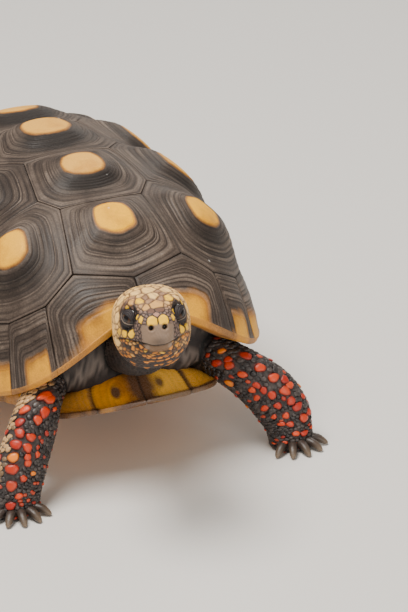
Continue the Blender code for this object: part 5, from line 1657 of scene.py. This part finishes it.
def scale_domes(grid, places, size, raise_by, around, rings):
    """Low ovals on the leg. Their height falls with the fourth power of the radius and rises down the leg.
    Returns points, faces, marks of the radius, and each point's place in the OFBake map, whose axes are the
    angle round the leg and the share of its length: a small patch at the scale's own root."""
    normal = normals_of(grid)
    length, radius = leg_measures(grid)
    share, degrees = places[:, 0], places[:, 1]
    reach = np.interp(share, np.linspace(0, 1, len(radius)), radius)
    angle = np.arange(around) / around * 2 * np.pi
    rho = np.linspace(1.0, 0.0, rings + 1)[:-1]
    u = (rho[:, None] * np.cos(angle)).ravel()
    v = (rho[:, None] * np.sin(angle) * (1.0 + 0.12 * np.sin(angle))).ravel()
    dome = np.repeat(1 - rho**4, around)
    u, v, dome = (np.concatenate([w, (0.0, 0.0)]) for w in (u, v, dome))
    dome[-2:] = 1.0, -1.0
    random = np.random.default_rng(len(places))
    turn = np.tile(np.concatenate([np.tile(angle, rings), (0.0, 0.0)]), (len(places), 1))
    phase = random.uniform(0, 2 * np.pi, (3, len(places), 1))
    waves = ((0.09, 2, phase[0]), (0.07, 3, phase[1]), (0.04, 5, phase[2]))
    uneven = 1 + sum(size_of * np.sin(turns * turn + start) for size_of, turns, start in waves)
    half = size[:, None] / 2 * uneven
    across, along = u * half, v * half * 0.84
    height = raise_by[:, None] * (0.25 + dome) + 0.16 * along + 0.02
    height[:, -1] = -0.9
    round_leg = degrees[:, None] + np.degrees(across / reach[:, None])
    point, up = on_leg(grid, normal, share[:, None] + along / length, round_leg)
    points = point + up * height[..., None]
    points[..., 2] = np.maximum(points[..., 2], 0.12)
    per = around * rings + 2
    top_ring = (rings - 1) * around + np.arange(around)
    one = [grid_faces(rings, around)[:, ::-1], fan_faces(per - 2, top_ring, outward=False)]
    one.append(fan_faces(per - 1, np.arange(around)))
    shift = (np.arange(len(places)) * per)[:, None, None]
    faces = [(f[None] + shift).reshape(-1, f.shape[1]) for f in one]
    edge = np.tile(np.concatenate([np.repeat(rho, around), (0.0, 1.0)]), (len(places), 1))
    spot = np.stack([degrees / 360 % 1, share], axis=1)[:, None]
    spot = spot + PATCH_HALF * np.stack([u, v], axis=-1)[None]
    return points.reshape(-1, 3), faces, edge.ravel(), spot.reshape(-1, 2)


def small_places(length, radius, spacing, first, large, seed):
    """Staggered rows of places down the leg from a first share, leaving room round the large scales."""
    random = np.random.default_rng(seed)
    rows = []
    for i, at in enumerate(np.arange(first, 0.985, spacing * 0.86 / length)):
        reach = np.interp(at, np.linspace(0, 1, len(radius)), radius)
        count = int(2 * np.pi * reach / spacing)
        degrees = (np.arange(count) + 0.5 * (i % 2)) / count * 360
        rows.append(np.stack([at + 0 * degrees, degrees], axis=1))
    places = np.concatenate(rows) + random.normal(0, 1, (sum(map(len, rows)), 2)) * (0.004, 1.4)
    reach = np.interp(places[:, 0], np.linspace(0, 1, len(radius)), radius)
    keep = np.ones(len(places), bool)
    for at, degrees, size in large:
        across = np.radians((places[:, 1] - degrees + 180) % 360 - 180) * reach
        keep &= np.hypot((places[:, 0] - at) * length, across) > size * 0.5 + spacing * 0.22
    return places[keep], random


def make_scale_finish():
    """Glossy horn: black, red, amber or cream by its marks, the red ones darker at the edge, all stained."""
    material, tree, shader, worn = new_finish("leg_scale", 0.42, 0.5)
    greyer = remap(tree, read_mark(tree, "value"), 0.3, 1.0)
    colour = mix_colour(tree, SCALE_BLACK, SCALE_GREY, greyer)
    red = mix_colour(tree, SCALE_DEEP_RED, SCALE_RED, read_mark(tree, "value"))
    red = mix_colour(tree, red, SCALE_AMBER, read_mark(tree, "amber"))
    at_edge = remap(tree, read_mark(tree, "edge"), 0.62, 1.0, 0.0, 0.85)
    red = mix_colour(tree, red, SCALE_EDGE, at_edge)
    colour = mix_colour(tree, colour, red, read_mark(tree, "red"))
    colour = mix_colour(tree, colour, SCALE_CREAM, read_mark(tree, "cream"))
    stained = remap(tree, worn.outputs["Stain"], 0.5, 0.85, 0.0, 0.55)
    colour = mix_colour(tree, colour, SCALE_STAIN, stained)
    tree.links.new(colour, shader.inputs["Base Color"])
    add_bump(tree, shader, worn.outputs["Height"], 0.25, 0.0003)
    return material


scale_finish = make_scale_finish()


def add_leg_scales(name, stations, reds, first, seed, outer):
    """One leg's coat as a joined mesh over its skin. Small scales are cream about `outer`, in degrees."""
    grid = flat_footed(bare_leg(stations, 150, 120))
    length, radius = leg_measures(grid)
    large = laid_out(reds)
    random = np.random.default_rng(seed)
    made = [scale_domes(grid, large[:, :2], large[:, 2], 0.5 + 0.10 * large[:, 2] / 4, 18, 5)]
    ones = np.ones(len(large))
    value, amber = random.random(len(large)), (random.random(len(large)) > 0.88) * 0.9
    kinds = [(large[:, 2], ones, value, amber, 0 * ones)]
    small, random = small_places(length, radius, SMALL_SPACING, first, large, seed)
    size = random.uniform(2.2, 2.9, len(small)) * (1 - 0.15 * ramp(small[:, 0], 0.85, 1.0))
    made.append(scale_domes(grid, small, size, random.uniform(0.22, 0.36, len(small)), 9, 2))
    ruddy = (random.random(len(small)) > 0.95) * 0.7
    far = np.abs((small[:, 1] - outer + 180) % 360 - 180) + random.normal(0, 6, len(small))
    along_leg = ramp(small[:, 0], 0.2, 0.35) * (1 - ramp(small[:, 0], 0.62, 0.78))
    cream = (1 - ramp(far, 18, 32)) * along_leg * 0.9
    kinds.append((size, ruddy, random.random(len(small)), 0 * ruddy, cream))
    names = ("red", "value", "amber", "cream")
    points, faces, edges, spots, marks, start = [], [], [], [], {mark: [] for mark in names}, 0
    for (some, some_faces, edge, spot), (size, *chosen) in zip(made, kinds):
        per = len(some) // len(size)
        points.append(some)
        faces += [f + start for f in some_faces]
        edges.append(edge)
        spots.append(spot)
        for mark, values in zip(names, chosen):
            marks[mark].append(np.repeat(values, per))
        start += len(some)
    marks = {mark: np.concatenate(values) for mark, values in marks.items()}
    marks["edge"] = np.concatenate(edges)
    points, spots = np.concatenate(points), np.concatenate(spots)
    add_piece(f"{name}_scales", points, faces, scale_finish, "skin", [], marks, patches=spots)


for i, (leg, first, outer) in enumerate(
    (
        ("foreleg_left", 0.22, 75.0), ("foreleg_right", 0.22, 165.0), ("hindleg_left", 0.30, 90.0),
        ("hindleg_right", 0.30, 90.0),
    )
):
    add_leg_scales(leg, *LEGS[leg][:2], first, 71 + i, outer)

# ---- eyes
# Round glassy eyes with a brown iris, a dark pupil and a dark rim, set in sockets in the head's skin. The
# lids cover most of each one.

PUPIL, IRIS, EYE_RIM = (0.004, 0.003, 0.003), (0.055, 0.022, 0.008), (0.012, 0.008, 0.006)


def add_eye(side, word, rows=40, columns=64):
    """A sphere about the eye's axis, marked with the angle from the axis."""
    _, axis = orbit_place(side)
    back = side * np.array((-axis[1], axis[0], 0.0))
    off = np.linspace(0, np.pi, rows)[1:-1, None]
    angle = np.arange(columns)[None] / columns * 2 * np.pi
    ring = axis * np.cos(off)[..., None] + back * (np.sin(off) * np.cos(angle))[..., None]
    ring = ring + np.array((0, 0, 1.0)) * (np.sin(off) * np.sin(angle))[..., None]
    centre = eye_centre(side)
    grid = centre + ring * EYE_RADIUS
    points, faces = closed_tube(grid)
    points[-2], points[-1] = centre + axis * EYE_RADIUS, centre - axis * EYE_RADIUS
    degrees = np.concatenate([np.degrees(off + 0 * angle).ravel(), [0.0, 180.0]])
    marks = {"off": degrees}
    add_piece(f"eye_{word}_ball", from_head(points), faces, eye_finish, "eye", [f"eye_{word}"], marks)


def make_eye_finish():
    """Clear and wet over the pupil, the iris and the rim, which are rings of the angle off the axis."""
    material, tree, shader, _ = new_finish("tortoise_eye", 0.08, 0.35)
    off = read_mark(tree, "off")
    colour = mix_colour(tree, PUPIL, IRIS, remap(tree, off, 14.0, 17.0))
    colour = mix_colour(tree, colour, EYE_RIM, remap(tree, off, 27.0, 31.0))
    tree.links.new(colour, shader.inputs["Base Color"])
    shader.inputs["Coat Weight"].default_value = 0.2
    shader.inputs["Coat Roughness"].default_value = 0.04
    return material


eye_finish = make_eye_finish()
add_eye(1, "left")
add_eye(-1, "right")

# ---- claws
# Blunt curved cones of horn, dark at the root and paler towards the worn tip. They grow out of the front of
# each foot, five on a forefoot and four on a hind foot, their tips just over the floor.

CLAW_LENGTH, CLAW_RADIUS, CLAW_FAN = 8.5, 2.1, 27
CLAW_DARK, CLAW_PALE, CLAW_STAIN = (0.035, 0.024, 0.019), (0.20, 0.14, 0.09), (0.06, 0.042, 0.032)


def claw_shape(foot, reach, angle, rows=22, columns=20):
    """Ovals along a curve from the root inside the foot to the blunt tip just over the floor."""
    out = np.array((math.sin(angle), -math.cos(angle), 0.0))
    root = foot + out * (reach - 3.4) + (0, 0, 3.6)
    tip = foot + out * (reach + CLAW_LENGTH - 3.4) + (0, 0, 0.9)
    middle = (root + tip) / 2 + (0, 0, 0.9)
    row = (
        (*root, CLAW_RADIUS, CLAW_RADIUS), (*middle, CLAW_RADIUS * 0.86, CLAW_RADIUS * 0.8),
        (*(middle * 0.3 + tip * 0.7), CLAW_RADIUS * 0.6, CLAW_RADIUS * 0.52), (*tip, 0.5, 0.45),
    )
    grid = limb_tube(row, (0, 0, 1), rows, columns)
    share = np.linspace(0, 1, rows)[:, None] + np.zeros(columns)
    grid = grid + normals_of(grid) * (0.05 * np.sin(share * 60))[..., None]
    return grid, share


def add_claws(word, stations, count, heading):
    """A foot's claws, fanned out evenly about its heading in degrees."""
    x, y, _, reach, _ = stations[-1]
    foot = np.array((x, y, 0.0))
    for i in range(count):
        angle = math.radians(heading + (i - (count - 1) / 2) * CLAW_FAN)
        grid, share = claw_shape(foot, reach, angle)
        name = f"claw_{word}_{i + 1}"
        marks = {"share": np.concatenate([share.ravel(), [0.0, 1.0]])}
        add_piece(f"{name}_horn", *closed_tube(grid), claw_finish, "claw", [name], marks)


def make_claw_finish():
    """Dull horn, shaded along the claw by the share of its length."""
    material, tree, shader, worn = new_finish("tortoise_claw", 0.42, 0.5)
    share = read_mark(tree, "share")
    colour = mix_colour(tree, CLAW_DARK, CLAW_PALE, remap(tree, share, 0.3, 0.95))
    colour = mix_colour(tree, colour, CLAW_STAIN, remap(tree, worn.outputs["Grain"], 0.45, 0.8))
    tree.links.new(colour, shader.inputs["Base Color"])
    add_bump(tree, shader, worn.outputs["Height"], 0.3, 0.0003)
    return material


claw_finish = make_claw_finish()
for leg, count, heading in (
    ("foreleg_left", 5, 6), ("foreleg_right", 5, -6), ("hindleg_left", 4, 12), ("hindleg_right", 4, -12)
):
    add_claws(leg, LEGS[leg][0], count, heading)
